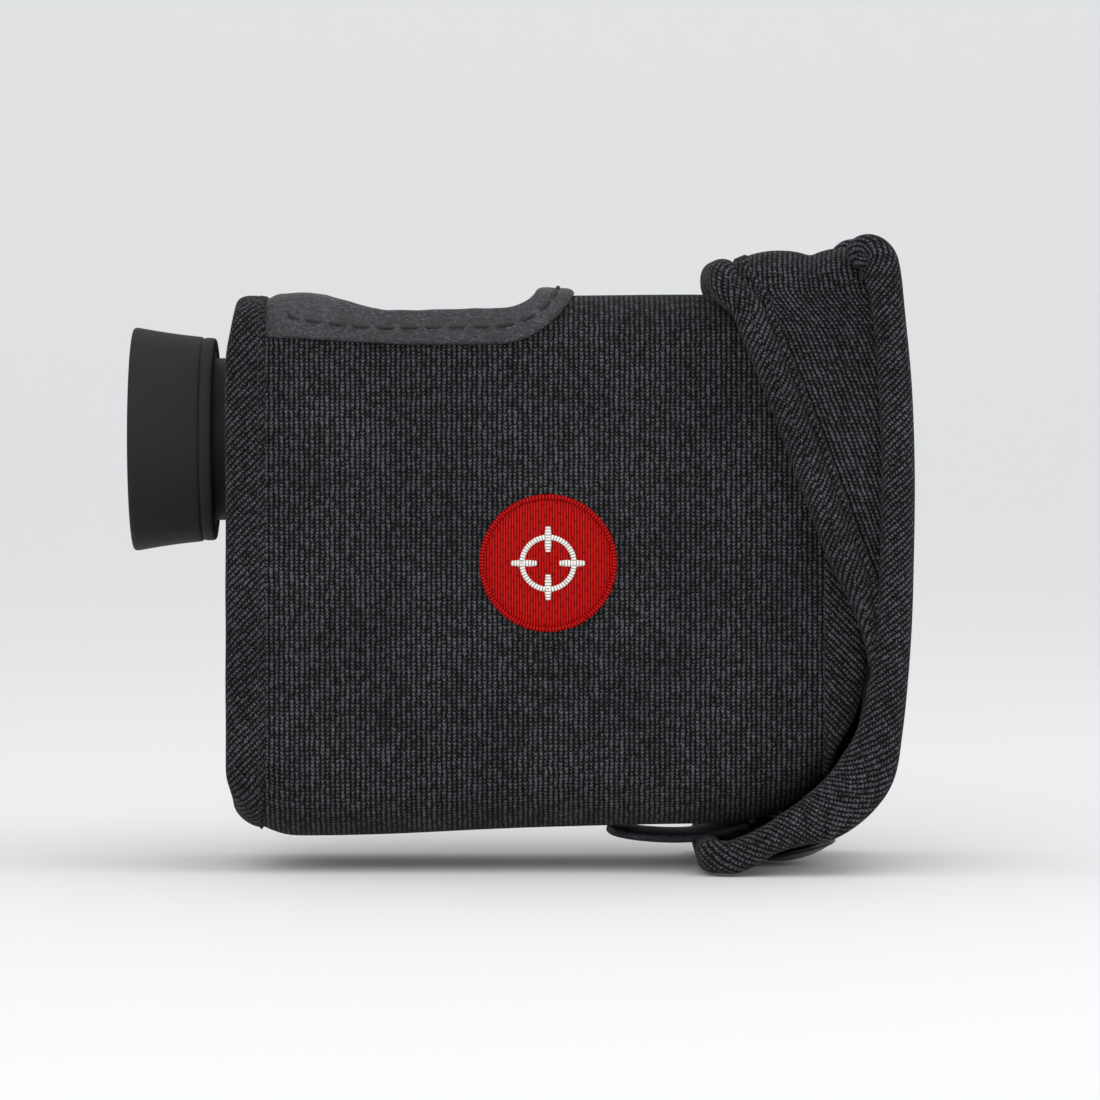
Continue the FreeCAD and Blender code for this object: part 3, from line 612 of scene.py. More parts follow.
def front_binding():
    """Bias tape round the front opening; it narrows where the edge turns under the toe."""
    ring = tube_ring(tube_bottom(FRONT_SEAM))
    rows = []
    for y, z, ny, nz, _ in ring:
        seam = Vector((FRONT_SEAM, y, z))
        rim = rim_point((y, z, ny, nz))
        ahead = rim - seam
        out = Vector((0.0, ny, nz))
        out = (out - ahead.normalized() * out.dot(ahead.normalized())).normalized()
        rows.append([seam + ahead * t + out * d * 0.8 for t, d in FOLD_SECTION])
    piece = loft("front_edge_tape", rows, ring=True, loop=True)
    round_off(piece)
    return piece


def seam_stitching(name, x, bottom):
    ring = tube_ring(bottom)
    path = [Vector((x, y + ny * 0.52, z + nz * 0.52)) for y, z, ny, nz, _ in ring]
    normals = [Vector((0.0, ny, nz)) for y, z, ny, nz, _ in ring]
    path.append(path[0].copy())
    normals.append(normals[0].copy())
    return stitches(name, path, normals, 2.3, 1.7, 0.16)


# ---------------------------------------------------------------- leather trim and patch
def window_loop(x0, x1, reach, rear_radius, front_radius, steps=9):
    """A rounded rectangle on the cloth, as (x, distance from the roof's middle)."""
    loop = []
    corners = [(x1, -reach, front_radius, -90), (x1, reach, front_radius, 0),
               (x0, reach, rear_radius, 90), (x0, -reach, rear_radius, 180)]
    for x, s, radius, start in corners:
        cx = x - math.copysign(radius, x - (x0 + x1) / 2)
        cs = s - math.copysign(radius, s)
        for i in range(steps):
            a = math.radians(start + 90 * i / (steps - 1))
            loop.append((cx + radius * math.cos(a), cs + radius * math.sin(a)))
    dense = []
    for i, (x, s) in enumerate(loop):
        nx, ns = loop[(i + 1) % len(loop)]
        dense.append((x, s))
        gap = math.hypot(nx - x, ns - s)
        for k in range(1, int(gap / 3.0) + 1 if (i + 1) % steps == 0 else 1):
            t = k / (int(gap / 3.0) + 1)
            dense.append((mix(x, nx, t), mix(s, ns, t)))
    return dense


def resample(loop, count):
    """The same closed outline with evenly numbered points."""
    points = [Vector((a, b, 0)) for a, b in loop]
    points.append(points[0])
    lengths = [0.0]
    for a, b in zip(points, points[1:]):
        lengths.append(lengths[-1] + (b - a).length)
    result, k = [], 0
    for i in range(count):
        target = lengths[-1] * i / count
        while lengths[k + 1] < target:
            k += 1
        t = (target - lengths[k]) / max(lengths[k + 1] - lengths[k], 1e-9)
        here = points[k].lerp(points[k + 1], t)
        result.append((here.x, here.y))
    return result


TRIM_REACH = FLAT_TOP + 1.31 * TUBE_CORNER
WINDOW_REACH = FLAT_TOP + 0.655 * TUBE_CORNER
TRIM_THICK = TRIM_HIGH.z - TUBE_TOP


def trim_outlines(count=150):
    """Outer and inner outline of the leather, matched point to point by direction."""
    inner = window_loop(TRIM_LOW.x + 7.3, TRIM_HIGH.x - 6.3, WINDOW_REACH, 12.0, 5.0)
    outer = window_loop(TRIM_LOW.x - 1.5, TRIM_HIGH.x, TRIM_REACH, 1.0, 12.0)
    centre_x = (TRIM_LOW.x + TRIM_HIGH.x) / 2
    outer_dense = resample(outer, 900)

    def at_direction(loop, angle):
        def miss(point):
            gap = math.atan2(point[1], point[0] - centre_x) - angle
            return abs((gap + math.pi) % (2 * math.pi) - math.pi)
        return min(loop, key=miss)

    pairs = []
    for x, s in resample(inner, count):
        pairs.append(((x, s), at_direction(outer_dense, math.atan2(s, x - centre_x))))
    return pairs


TRIM_SECTION = [(0.0, -2.6), (0.0, -0.6), (0.02, 0.45), (0.1, 1.0), (0.3, 1.08), (0.52, 0.98),
                (0.6, 0.84), (0.68, 0.96), (0.84, 0.92), (0.96, 0.72), (1.0, 0.36), (0.99, 0.0)]


def above_tape(x):
    """Falls to zero where the leather runs in under the rear edge tape."""
    return smooth((x - TRIM_LOW.x + 1.6) / 2.4)


def leather_trim():
    """Leather frame that is turned down into the window, with a pressed line for its stitches."""
    rows = []
    for (x0, s0), (x1, s1) in trim_outlines():
        dip = 1.2 * smooth((-14.0 - x1) / 26.0) * math.copysign(1.0, s1) if abs(s1) > 16 else 0.0
        row = []
        for t, d in TRIM_SECTION:
            x, s = mix(x0, x1, t), mix(s0, s1 - dip, t)
            point, normal = on_tube(x, s)
            ripple = 0.16 * noise.noise(Vector((x * 0.35, s * 0.35, 1.0))) if d > 0.3 else 0.0
            row.append(point + normal * ((d * TRIM_THICK + ripple + 0.6) * above_tape(x) - 0.6))
        rows.append(row)
    piece = loft("window_leather", rows, loop=True, away=(TRIM_LOW.x + 24, 0, 60))
    thicken(piece, 0.5)
    round_off(piece)
    return piece


def trim_thread():
    path = []
    for (x0, s0), (x1, s1) in trim_outlines():
        x, s = mix(x0, x1, 0.6), mix(s0, s1, 0.6)
        point, normal = on_tube(x, s)
        if x > TRIM_LOW.x + 2.8:
            path.append((point + normal * (0.92 * TRIM_THICK), normal))
    start = max(range(len(path)), key=lambda i: (path[i][0] - path[i - 1][0]).length)
    path = path[start:] + path[:start]
    return stitches("window_thread", [p for p, _ in path], [n for _, n in path], 3.7, 3.0, 0.34)


def patch_centre():
    return (PATCH_LOW.x + PATCH_HIGH.x) / 2, (PATCH_LOW.z + PATCH_HIGH.z) / 2 + 0.6


def patch_disc():
    """The satin-stitched field of the patch, slightly domed."""
    x, z = patch_centre()
    radius, lift = (PATCH_HIGH.x - PATCH_LOW.x) / 2, PATCH_HIGH.y - PATCH_LOW.y
    rows = []
    for r, d in [(0.0, 0.92), (0.2, 0.91), (0.4, 0.88), (0.6, 0.84), (0.8, 0.76), (0.9, 0.66),
                 (0.97, 0.3), (0.97, -0.6)]:
        y = PATCH_HIGH.y - d * lift
        around = [on_circle(x, z, radius * r, 360 * i / 48) for i in range(48)]
        rows.append([Vector((ring_x, y, ring_z)) for ring_x, ring_z in around])

    def place(i, j):
        point = rows[i][j % 48]
        return point.x, point.z

    piece = loft("patch_field", rows, ring=True, uv=place, away=(x, 0, z))
    return weld(piece)


def weld(piece, distance=0.0005):
    shell = bmesh.new()
    shell.from_mesh(piece.data)
    bmesh.ops.remove_doubles(shell, verts=shell.verts[:], dist=distance * MM)
    shell.to_mesh(piece.data)
    shell.free()
    return piece


def ring_of_thread(name, radius, width, height, base_y, count=96):
    """A raised satin-stitched ring, with the threads laid across it."""
    x, z = patch_centre()
    centres, ups = [], []
    for i in range(count):
        a = 2 * math.pi * i / count
        direction = Vector((math.cos(a), 0, math.sin(a)))
        centres.append(Vector((x, base_y, z)) + direction * radius)
        ups.append(direction)
    return tube(name, centres, ups, [width / 2] * count, height, count=12, loop=True, power=2.1)


def patch_mark(base_y):
    """A plain aiming mark: four short bars, in off-white thread."""
    x, z = patch_centre()
    bars = []
    for quarter in range(4):
        a = math.pi / 2 * quarter
        direction = Vector((math.cos(a), 0, math.sin(a)))
        up = Vector((-math.sin(a), 0, math.cos(a)))
        centres = [Vector((x, base_y, z)) + direction * r
                   for r in (1.7, 1.8, 2.6, 3.6, 4.6, 5.6, 5.7)]
        bars.append(tube("patch_bar_%d" % quarter, centres, [up] * 7,
                         [0.2, 0.38, 0.5, 0.5, 0.5, 0.38, 0.2], 0.5, count=10, power=2.0))
    return bars


# ---------------------------------------------------------------- hood strip
def smooth_line(knots, count):
    """Points spread evenly on a Catmull-Rom curve through knots."""
    knots = [Vector(k) for k in knots]
    ends = [2 * knots[0] - knots[1], *knots, 2 * knots[-1] - knots[-2]]
    dense = []
    for a, b, c, d in zip(ends, ends[1:], ends[2:], ends[3:]):
        for k in range(24):
            t = k / 24
            dense.append(0.5 * (2 * b + (c - a) * t + (2 * a - 5 * b + 4 * c - d) * t * t
                                + (3 * b - a - 3 * c + d) * t ** 3))
    dense.append(knots[-1])
    lengths = [0.0]
    for a, b in zip(dense, dense[1:]):
        lengths.append(lengths[-1] + (b - a).length)
    points, k = [], 0
    for i in range(count):
        target = lengths[-1] * i / (count - 1)
        while k < len(dense) - 2 and lengths[k + 1] < target:
            k += 1
        t = (target - lengths[k]) / max(lengths[k + 1] - lengths[k], 1e-9)
        points.append(dense[k].lerp(dense[k + 1], min(t, 1.0)))
    return points


# Side line of the strip's outer face, (X, Z): over the dome on the roof, down the front, round the
# corner and back under the sleeve. Below it, the inner edge of the strip's rolls, knot for knot.
OUTER_KNOTS = [(52.0, 96.9), (53.0, 98.0), (54.8, 97.9), (56.5, 96.2), (57.9, 92.4), (58.9, 86.5),
               (60.1, 75.0), (60.6, 62.0), (60.5, 49.0), (60.1, 36.0), (58.9, 22.5), (56.9, 13.6),
               (53.6, 8.8), (48.6, 5.3), (44.1, 4.4), (39.6, 3.2), (36.4, 1.3), (33.6, 0.0)]
INNER_KNOTS = [(52.0, 91.2), (52.4, 91.8), (52.9, 91.6), (53.3, 90.4), (53.7, 88.6), (54.1, 84.5),
               (54.9, 74.0), (55.3, 62.0), (55.1, 49.0), (54.3, 36.0), (52.3, 24.4), (50.3, 19.8),
               (47.9, 16.0), (44.9, 12.9), (41.6, 10.4), (37.8, 7.7), (34.4, 6.0), (31.8, 5.1)]
CREASE_KNOT, KNOT_STEPS = 12, 4


def strip_line(share):
    """Side line of the strip and its index at the crease.

    share is 0 on the outer face and 1 on the rolls' inner edge.
    """
    knots = [Vector(o).lerp(Vector(i), share) for o, i in zip(OUTER_KNOTS, INNER_KNOTS)]
    ends = [2 * knots[0] - knots[1], *knots, 2 * knots[-1] - knots[-2]]
    line = []
    for a, b, c, d in zip(ends, ends[1:], ends[2:], ends[3:]):
        for k in range(KNOT_STEPS):
            t = k / KNOT_STEPS
            line.append(0.5 * (2 * b + (c - a) * t + (2 * a - 5 * b + 4 * c - d) * t * t
                               + (3 * b - a - 3 * c + d) * t ** 3))
    return line + [knots[-1]], CREASE_KNOT * KNOT_STEPS


def strip_rows(half, crown, count=18):
    """Rows across the strip's outer face, with the foam a little fuller in the middle."""
    line, crease = strip_line(PANEL_INSET / ROLL_DEPTH)
    rows = []
    for i, (x, z) in enumerate(line):
        before, after = line[max(i - 1, 0)], line[min(i + 1, len(line) - 1)]
        tangent = Vector((after[0] - before[0], 0, after[1] - before[1])).normalized()
        out = Vector((-tangent.z, 0, tangent.x))
        row = []
        for j in range(count + 1):
            across = 2 * j / count - 1
            full = crown * (1 - abs(across) ** 2.6)
            wave = 0.18 * noise.noise(Vector((x * 0.06, across * 1.5, z * 0.06)))
            row.append(Vector((x, half * across, z)) + out * (full + wave))
        rows.append(row)
    return rows, crease


def hood_front():
    rows, crease = strip_rows(PANEL_HALF + 0.5, 0.75)
    rows = rows[:crease + 1]
    piece = loft("hood_front_cloth", rows, away=(20, 0, 50))
    thicken(piece, PANEL_THICK)
    round_off(piece)
    return piece


def tail_cloth():
    """The tail's panel: round from the crease, then straight down to its end."""
    rows, crease = strip_rows(PANEL_HALF + 0.5, 0.4)
    rows = rows[crease:]
    piece = loft("tail_cloth", rows, away=(30, 0, 40))
    thicken(piece, PANEL_THICK - 0.2)
    round_off(piece)
    return piece


def roll_lines():
    outer, crease = strip_line(0.0)
    inner, _ = strip_line(1.0)
    return outer, inner, crease


def roll_frames(y):
    """Middle, outward direction and half width of a side's roll, all along the strip."""
    outer, inner, crease = roll_lines()
    frames = []
    for (ox, oz), (nx, nz) in zip(outer, inner):
        o, n = Vector((ox, y, oz)), Vector((nx, y, nz))
        frames.append(((o + n) / 2, (o - n).normalized(), (o - n).length / 2))
    return frames, crease


def tuck(frames, toward, share=0.93):
    """Ends a roll a little inside its neighbour, so the two read as one roll."""
    (centre, up, half), reach = frames[-1], (toward - frames[-1][0]).normalized()
    return frames + [(centre + reach * 0.25, up, half), (centre + reach * 1.6, up, half * share)]


def hood_roll(side):
    """Rolled edge of the strip on one side, from its round end on the roof to the crease."""
    frames, crease = roll_frames(side * (PANEL_HALF + ROLL_THICK / 2))
    first, up, half = frames[0]
    nose = [(first + Vector((-back, 0, 0)) - up * half * (1 - share) * 0.5, up, half * share)
            for back, share in ((1.0, 0.42), (0.75, 0.7), (0.35, 0.92))]
    body = nose + frames[:crease + 1]
    body = tuck(body, frames[crease + 1][0])
    thick = [ROLL_FULL * (0.6 + 0.4 * min(h / half, 1.0)) for _, _, h in body]
    piece = tube("hood_roll_" + ("left" if side > 0 else "right"), [f[0] for f in body],
                 [f[1] for f in body], [f[2] for f in body], thick, power=2.1)
    round_off(piece)
    return piece


def tail_roll():
    """Rolled edge down one side of the tail, round its end and back up the other side."""
    frames, crease = roll_frames(-(PANEL_HALF + ROLL_THICK / 2))
    side = tuck(list(reversed(frames[crease:])), frames[crease - 1][0], 0.95)[::-1]
    y = PANEL_HALF + ROLL_THICK / 2
    turn, low = 3.4, ROLL_DEPTH / 2
    end_x = frames[-1][0].x - turn
    corner = []
    for k in range(1, 8):
        a = math.radians(90 * k / 8)
        corner.append((Vector((end_x + turn * (1 - math.sin(a)), -y + turn * (1 - math.cos(a)),
                               mix(frames[-1][0].z, low, k / 8))), frames[-1][1], low))
    across = [(Vector((end_x, mix(-y + turn, 0, k / 8), low)), Vector((0, 0, -1)), low)
              for k in range(8)]
    half = side + corner + across
    mirrored = [(Vector((c.x, -c.y, c.z)), u, h) for c, u, h in reversed(half)]
    path = half + [(Vector((end_x, 0, low)), Vector((0, 0, -1)), low)] + mirrored
    piece = tube("tail_roll", [f[0] for f in path], [f[1] for f in path], [f[2] for f in path],
                 ROLL_FULL)
    round_off(piece)
    return piece


# ---------------------------------------------------------------- hood roof, sides and mouth
MOUTH_PATH = [(28.7, 89.2), (33.0, 84.8), (37.9, 72.8), (42.6, 60.5), (46.7, 49.6), (49.6, 44.0),
              (51.7, 39.0), (53.1, 34.6), (53.6, 31.0)]
MOUTH_WIDTH = 4.9
SIDE_Y = MOUTH_HIGH.y - 1.6
SHELL_Y = SIDE_Y - 0.7


def mouth_x(z):
    """X of the mouth's rear edge at a height."""
    for (x0, z0), (x1, z1) in zip(MOUTH_PATH, MOUTH_PATH[1:]):
        if z >= z1:
            return mix(x0, x1, min(max((z - z0) / (z1 - z0), 0.0), 1.0))
    return MOUTH_PATH[-1][0]


def front_x(z):
    """X of the front roll's inner edge at a height."""
    inner = strip_line(0.85)[0]
    upper = [(x, h) for x, h in inner if h > 30.0]
    for (x0, z0), (x1, z1) in zip(upper, upper[1:]):
        if z0 >= z >= z1 and z0 > z1:
            return mix(x0, x1, (z - z0) / (z1 - z0))
    return 52.0 if z > 90 else upper[-1][0]


def hood_shell():
    """Roof and both triangular sides of the hood, as one piece of cloth folded over the top."""
    roof_z, bend = MOUTH_HIGH.z + 0.2, 5.0
    profile = []
    low, steps = 36.0, 20
    for i in range(steps):
        profile.append((-SHELL_Y, mix(low, roof_z - bend, i / steps), -1.0, 0.0))
    for i in range(8):
        a = math.pi / 2 * i / 8
        profile.append((-SHELL_Y + bend * (1 - math.cos(a)), roof_z - bend + bend * math.sin(a),
                        -math.cos(a), math.sin(a)))
    for i in range(8):
        profile.append((mix(-SHELL_Y + bend, 0, i / 8), roof_z, 0.0, 1.0))
    profile += [(0.0, roof_z, 0.0, 1.0)] + [(-y, z, -ny, nz) for y, z, ny, nz in reversed(profile)]
    columns = 24
    rows = []
    for y, z, ny, nz in profile:
        on_side = 1 - nz
        height = min(z, 88.9)
        x0 = mix(MOUTH_LOW.x + 4.0, mouth_x(height) + mouth_width(z) * 0.7, smooth(on_side * 3))
        x1 = mix(52.6, front_x(z), smooth(on_side * 3))
        row = []
        for j in range(columns + 1):
            t = j / columns
            x = mix(x0, x1, t)
            hump = 1.5 * abs(math.sin(math.pi * (x - 34.0) / 10.8)) ** 0.5 if x > 34.0 else 0.0
            pillow = (4 * t * (1 - t)) ** 0.6
            puff = mix(0.7 * pillow + 0.2 * hump * (z > 84), hump - 0.4 + 0.7 * t,
                       smooth(nz * 1.4))
            puff += 0.3 * noise.noise(Vector((x * 0.09, y * 0.07, z * 0.06)))
            row.append(Vector((x, y + ny * puff, z + nz * puff)))
        rows.append(row)
    piece = loft("hood_shell_cloth", rows, away=(40, 0, 60))
    thicken(piece, 1.4)
    round_off(piece)
    return piece


def mouth_side():
    """Middle line and width of the mouth roll on the patch side, from its lower end upward.

    It thins out where it runs down behind the front roll.
    """
    line = smooth_line([(x + mouth_width(z) / 2, z + 0.5) for x, z in reversed(MOUTH_PATH[1:])], 34)
    return [(x, z, mouth_width(z)) for x, z in line]


def mouth_width(z):
    return mix(1.4, MOUTH_WIDTH, smooth((z - 31.0) / 19.0))


def mouth_roll():
    """Rolled edge of the mouth, up one side, over the roof and down the other side."""
    side = mouth_side()
    path = [(Vector((x, -SIDE_Y + 0.1, z)), Vector((0, -1, 0)), w) for x, z, w in side]
    top = path[-1][0]
    roof_x, roof_z, bend = MOUTH_LOW.x + 2.5, 91.6, 4.2
    for i in range(1, 9):
        a = math.pi / 2 * i / 8
        path.append((Vector((mix(top.x, roof_x, smooth(i / 5)), -SIDE_Y + bend * (1 - math.cos(a)),
                             mix(top.z, roof_z, math.sin(a)))),
                     Vector((0, -math.cos(a), math.sin(a))), MOUTH_WIDTH))
    path += [(Vector((roof_x, mix(-SIDE_Y + bend, 0, i / 8), roof_z)), Vector((0, 0, 1)),
              MOUTH_WIDTH) for i in range(1, 8)]
    other = [(Vector((c.x, -c.y, c.z)), Vector((n.x, -n.y, n.z)), w) for c, n, w in reversed(path)]
    path += [(Vector((roof_x, 0, roof_z)), Vector((0, 0, 1)), MOUTH_WIDTH)] + other
    halves = [mix(2.2, 2.8, smooth(n.z)) * mix(0.7, 1.0, w / MOUTH_WIDTH) for _, n, w in path]
    piece = tube("mouth_roll", [c for c, _, _ in path], [n for _, n, _ in path], halves,
                 [w + 0.2 for _, _, w in path], count=16, power=2.2)
    round_off(piece)
    return piece


def mouth_piping():
    """Thin, slightly wavy lip where the mouth's tape is sewn to the roof and the sides."""
    y = -SIDE_Y - 0.55
    path = []
    for x, z, w in mouth_side():
        sway = 0.28 * noise.noise(Vector((x * 0.4, z * 0.4, 7.0)))
        path.append(Vector((x + w / 2 + 0.45 + sway, y, z + 0.5)))
    top, roof_x, roof_z = path[-1], MOUTH_LOW.x + 5.9, MOUTH_HIGH.z + 0.35
    for i in range(1, 8):
        a = math.pi / 2 * i / 7
        path.append(Vector((mix(top.x, roof_x, smooth(i / 5)), y + 4.4 * (1 - math.cos(a)),
                            mix(top.z, roof_z, math.sin(a)))))
    path += [Vector((roof_x, mix(y + 4.4, 0, i / 8), roof_z)) for i in range(1, 8)]
    path += [Vector((roof_x, 0, roof_z))] + [Vector((p.x, -p.y, p.z)) for p in reversed(path)]
    ups = [Vector((0, p.y, max(p.z - 86, 0.0) * 4)).normalized() for p in path]
    return tube("mouth_piping", path, ups, [0.6] * len(path), 1.3, count=8, power=2.0)


# ---------------------------------------------------------------- hard pieces
def turned(name, profile, x_offset, z, steps=96):
    """A Screw-made ring about the sight axis, from (x, radius) points on a closed profile."""
    mesh = bpy.data.meshes.new(name)
    points = [Vector((r, 0.0, -x)) * MM for x, r in profile]
    count = len(points)
    mesh.from_pydata(points, [(i, (i + 1) % count) for i in range(count)], [])
    piece = bpy.data.objects.new(name, mesh)
    bpy.context.scene.collection.objects.link(piece)
    add_modifier(piece, "SCREW", axis="Z", steps=steps, render_steps=steps, use_merge_vertices=True,
                 merge_threshold=0.01 * MM, use_smooth_shade=True)
    apply_stack(piece)
    turn = Matrix.Rotation(math.radians(90), 4, "Y")
    piece.data.transform(Matrix.Translation(Vector((x_offset, 0, z)) * MM) @ turn
                         @ Matrix.Scale(-1, 4, (0, 0, 1)))
    shell = bmesh.new()
    shell.from_mesh(piece.data)
    bmesh.ops.recalc_face_normals(shell, faces=shell.faces[:])
    shell.to_mesh(piece.data)
    shell.free()
    piece.data.shade_smooth()
    return piece


def rubber_cup():
    """Flared eyecup: a soft lip, a slightly hollow flare and a moulding step at the front."""
    z = (CUP_LOW.z + CUP_HIGH.z) / 2
    rear, front, rim = CUP_LOW.x, CUP_HIGH.x, (CUP_HIGH.z - CUP_LOW.z) / 2
    outer = [(rear + 0.05, rim - 0.5), (rear, rim - 0.2), (rear + 0.12, rim + 0.1),
             (rear + 0.4, rim + 0.25), (rear + 0.9, rim + 0.2)]
    for i in range(1, 9):
        t = i / 8
        waist = 0.12 * math.sin(math.pi * t)
        outer.append((mix(rear + 0.9, front - 2.4, t), mix(rim + 0.2, 16.05, t) - waist))
    outer += [(front - 2.2, 16.0), (front - 2.05, 15.8), (front - 1.85, 15.78), (front - 1.7, 15.9),
              (front - 0.5, 15.9), (front - 0.15, 15.75), (front, 15.4)]
    inner = [(front, 13.95), (front - 0.2, 13.85), (front - 9.0, 13.85), (rear + 2.4, 13.9),
             (rear + 1.9, 14.6), (rear + 1.2, 15.5), (rear + 0.5, 16.1), (rear + 0.15, 16.35)]
    piece = turned("eyecup_rubber", outer + inner, 0.0, z)
    round_off(piece)
    return piece


def snap_disc():
    """Polished snap cap: a low dome with a rolled rim, on the slanted underside of the tail."""
    low, high = span("snap_cap")
    profile = [(-3.4, 0.02), (-3.4, 3.4), (0.0, 3.5), (0.0, 5.6), (0.1, 6.3), (0.45, 6.65),
               (0.85, 6.55), (1.1, 6.1), (1.2, 5.6), (1.65, 4.4), (2.05, 2.8), (2.25, 1.4),
               (2.3, 0.02)]
    mesh = bpy.data.meshes.new("snap_disc")
    points = [Vector((r, 0.0, -d)) * MM for d, r in profile]
    mesh.from_pydata(points, [(i, i + 1) for i in range(len(points) - 1)], [])
    piece = bpy.data.objects.new("snap_disc", mesh)
    bpy.context.scene.collection.objects.link(piece)
    add_modifier(piece, "SCREW", axis="Z", steps=72, render_steps=72, use_merge_vertices=True,
                 merge_threshold=0.05 * MM, use_smooth_shade=True)
    apply_stack(piece)
    lean = math.radians(-12.2)
    place = Vector(((low.x + high.x) / 2 + 0.9, 0.0, low.z + 2.15))
    piece.data.transform(Matrix.Translation(place * MM) @ Matrix.Rotation(lean, 4, "Y"))
    shell = bmesh.new()
    shell.from_mesh(piece.data)
    bmesh.ops.holes_fill(shell, edges=shell.edges[:], sides=0)
    bmesh.ops.recalc_face_normals(shell, faces=shell.faces[:])
    shell.to_mesh(piece.data)
    shell.free()
    piece.data.shade_smooth()
    return piece


def leather_tab():
    """Thin tongue that curves down from under the tail and up again at its free tip."""
    half = (TAB_HIGH.y - TAB_LOW.y) / 2
    tip, root = TAB_LOW.x, TAB_HIGH.x
    rows = []
    count = 20
    for i in range(count + 1):
        t = i / count
        x = mix(tip, root, t)
        z = 5.2 - 1.0 * math.sin(math.pi * min(t / 0.95, 1.0)) + 1.0 * smooth((t - 0.55) / 0.45)
        width = half * math.sqrt(max(1 - (1 - min(t / 0.22, 1.0)) ** 2, 0.02))
        shares = [2 * j / 10 - 1 for j in range(11)]
        rows.append([Vector((x, width * share, z + 0.7 - 0.12 * abs(share) ** 3))
                     for share in shares])
    piece = loft("pull_tongue", rows, away=(25, 0, -40))
    thicken(piece, 1.4)
    round_off(piece, 2)
    return piece


# ---------------------------------------------------------------- settings
class ClothSettings(bpy.types.PropertyGroup):
    """Cloth and tape of the sleeve and hood."""
    thickness: bpy.props.FloatProperty(name="Cloth thickness", description="Foam-backed cloth",
                                       default=3.0 * MM, min=0.001, max=0.006,
                                       subtype="DISTANCE", unit="LENGTH")
    rib_pitch: bpy.props.FloatProperty(name="Rib spacing", description="Distance between knit ribs",
                                       default=0.78 * MM, min=0.0002, max=0.004,
                                       subtype="DISTANCE", unit="LENGTH")
    # Painted shade: this colour darkens the cloth between the ribs.
    painted_groove_shade: bpy.props.StringProperty(name="Groove colour", description="Between the ribs, as hex",
                                     default="#030304")
    rib: bpy.props.StringProperty(name="Rib colour", description="Crowns of the ribs, as hex",
                                  default="#151617")
    # Painted highlight: this colour is painted on random loops as glints.
    painted_glint: bpy.props.StringProperty(name="Glint colour", description="Bright filaments, as hex",
                                    default="#626468")


class TrimSettings(bpy.types.PropertyGroup):
    """Leather, thread and patch."""
    leather: bpy.props.StringProperty(name="Leather colour", description="Main tone, as hex",
                                      default="#27292b")
    thread: bpy.props.StringProperty(name="Thread colour", description="Stitches, as hex",
                                     default="#0a0a0b")
    patch: bpy.props.StringProperty(name="Patch colour", description="Embroidered field, as hex",
                                    default="#a40000")
    mark: bpy.props.StringProperty(name="Mark colour", description="Aiming mark, as hex",
                                   default="#e4e0d8")


class StageSettings(bpy.types.PropertyGroup):
    """Floor and camera."""
    floor: bpy.props.StringProperty(name="Floor colour", description="Pale sweep, as hex",
                                    default="#e9e9e9")
    distance: bpy.props.FloatProperty(name="Camera distance", description="From the object",
                                      default=0.95, min=0.2, max=5.0, subtype="DISTANCE",
                                      unit="LENGTH")
    elevation: bpy.props.FloatProperty(name="Camera elevation", description="Above level",
                                       default=math.radians(2.0), subtype="ANGLE", unit="ROTATION")


def sleeve_material(settings, turn=0.0, name="ribbed_knit"):
    return knit_cloth(name, settings.rib_pitch / MM, turn, settings.painted_groove_shade, settings.rib,
                      settings.painted_glint)


# ---------------------------------------------------------------- operators
class RANGE_OT_sleeve(bpy.types.Operator):
    """Build the cloth tube with its two edge tapes"""
    bl_idname = "rangefinder.sleeve"
    bl_label = "Sleeve"

    def execute(self, context):
        cloth = context.scene.range_cloth
        knit = sleeve_material(cloth)
        tape = sleeve_material(cloth, 45.0, "bias_knit_tape")
        thread = moulded("spun_polyester_thread", "#101112", "#1d1e20", 0.8, 0.2, 0.05)
        finish_piece(cloth_tube(cloth), knit, "sleeve_cloth", "sleeve", ["sleeve_body"])
        finish_piece(rear_binding(), tape, "binding", "sleeve", ["sleeve_rear_binding"])
        finish_piece(front_binding(), tape, "binding", "sleeve", ["sleeve_front_binding"])
        rear = seam_stitching("rear_tape_stitches", REAR_SEAM - 1.1, TUBE_BOTTOM)
        finish_piece(rear, thread, "binding", "sleeve")
        return {"FINISHED"}


class RANGE_OT_trim(bpy.types.Operator):
    """Build the leather window frame, its stitches and the round patch"""
    bl_idname = "rangefinder.trim"
    bl_label = "Trim and patch"

    def execute(self, context):
        trim = context.scene.range_trim
        hide = creased_leather("creased_cowhide", "#0e0f10", trim.leather, "#4e5055")
        thread = moulded("waxed_thread", trim.thread, "#2a2b2d", 0.7, 0.2, 0.04)
        red = satin_stitch("rayon_satin_stitch_red", "#3c0000", trim.patch, "#bf1410")
        edge = satin_stitch("rayon_merrow_edge_red", "#300000", trim.patch, "#b0120e", 0.5, 9.0)
        white = satin_stitch("rayon_satin_stitch_white", "#8c8880", trim.mark, "#f4f2ec", 0.45, 9.0)
        finish_piece(leather_trim(), hide, "leather", "sleeve", ["window_leather_trim"])
        finish_piece(trim_thread(), thread, "leather", "sleeve")
        finish_piece(patch_disc(), red, "patch", "sleeve", ["round_patch"])
        radius = (PATCH_HIGH.x - PATCH_LOW.x) / 2
        border = ring_of_thread("patch_border", radius - 0.42, 0.85, 1.0, PATCH_HIGH.y - 0.42)
        finish_piece(border, edge, "patch", "sleeve")
        face = PATCH_LOW.y + 0.05
        finish_piece(ring_of_thread("patch_ring", 4.0, 0.8, 0.5, face), white, "patch", "sleeve")
        for bar in patch_mark(face):
            finish_piece(bar, white, "patch", "sleeve")
        return {"FINISHED"}


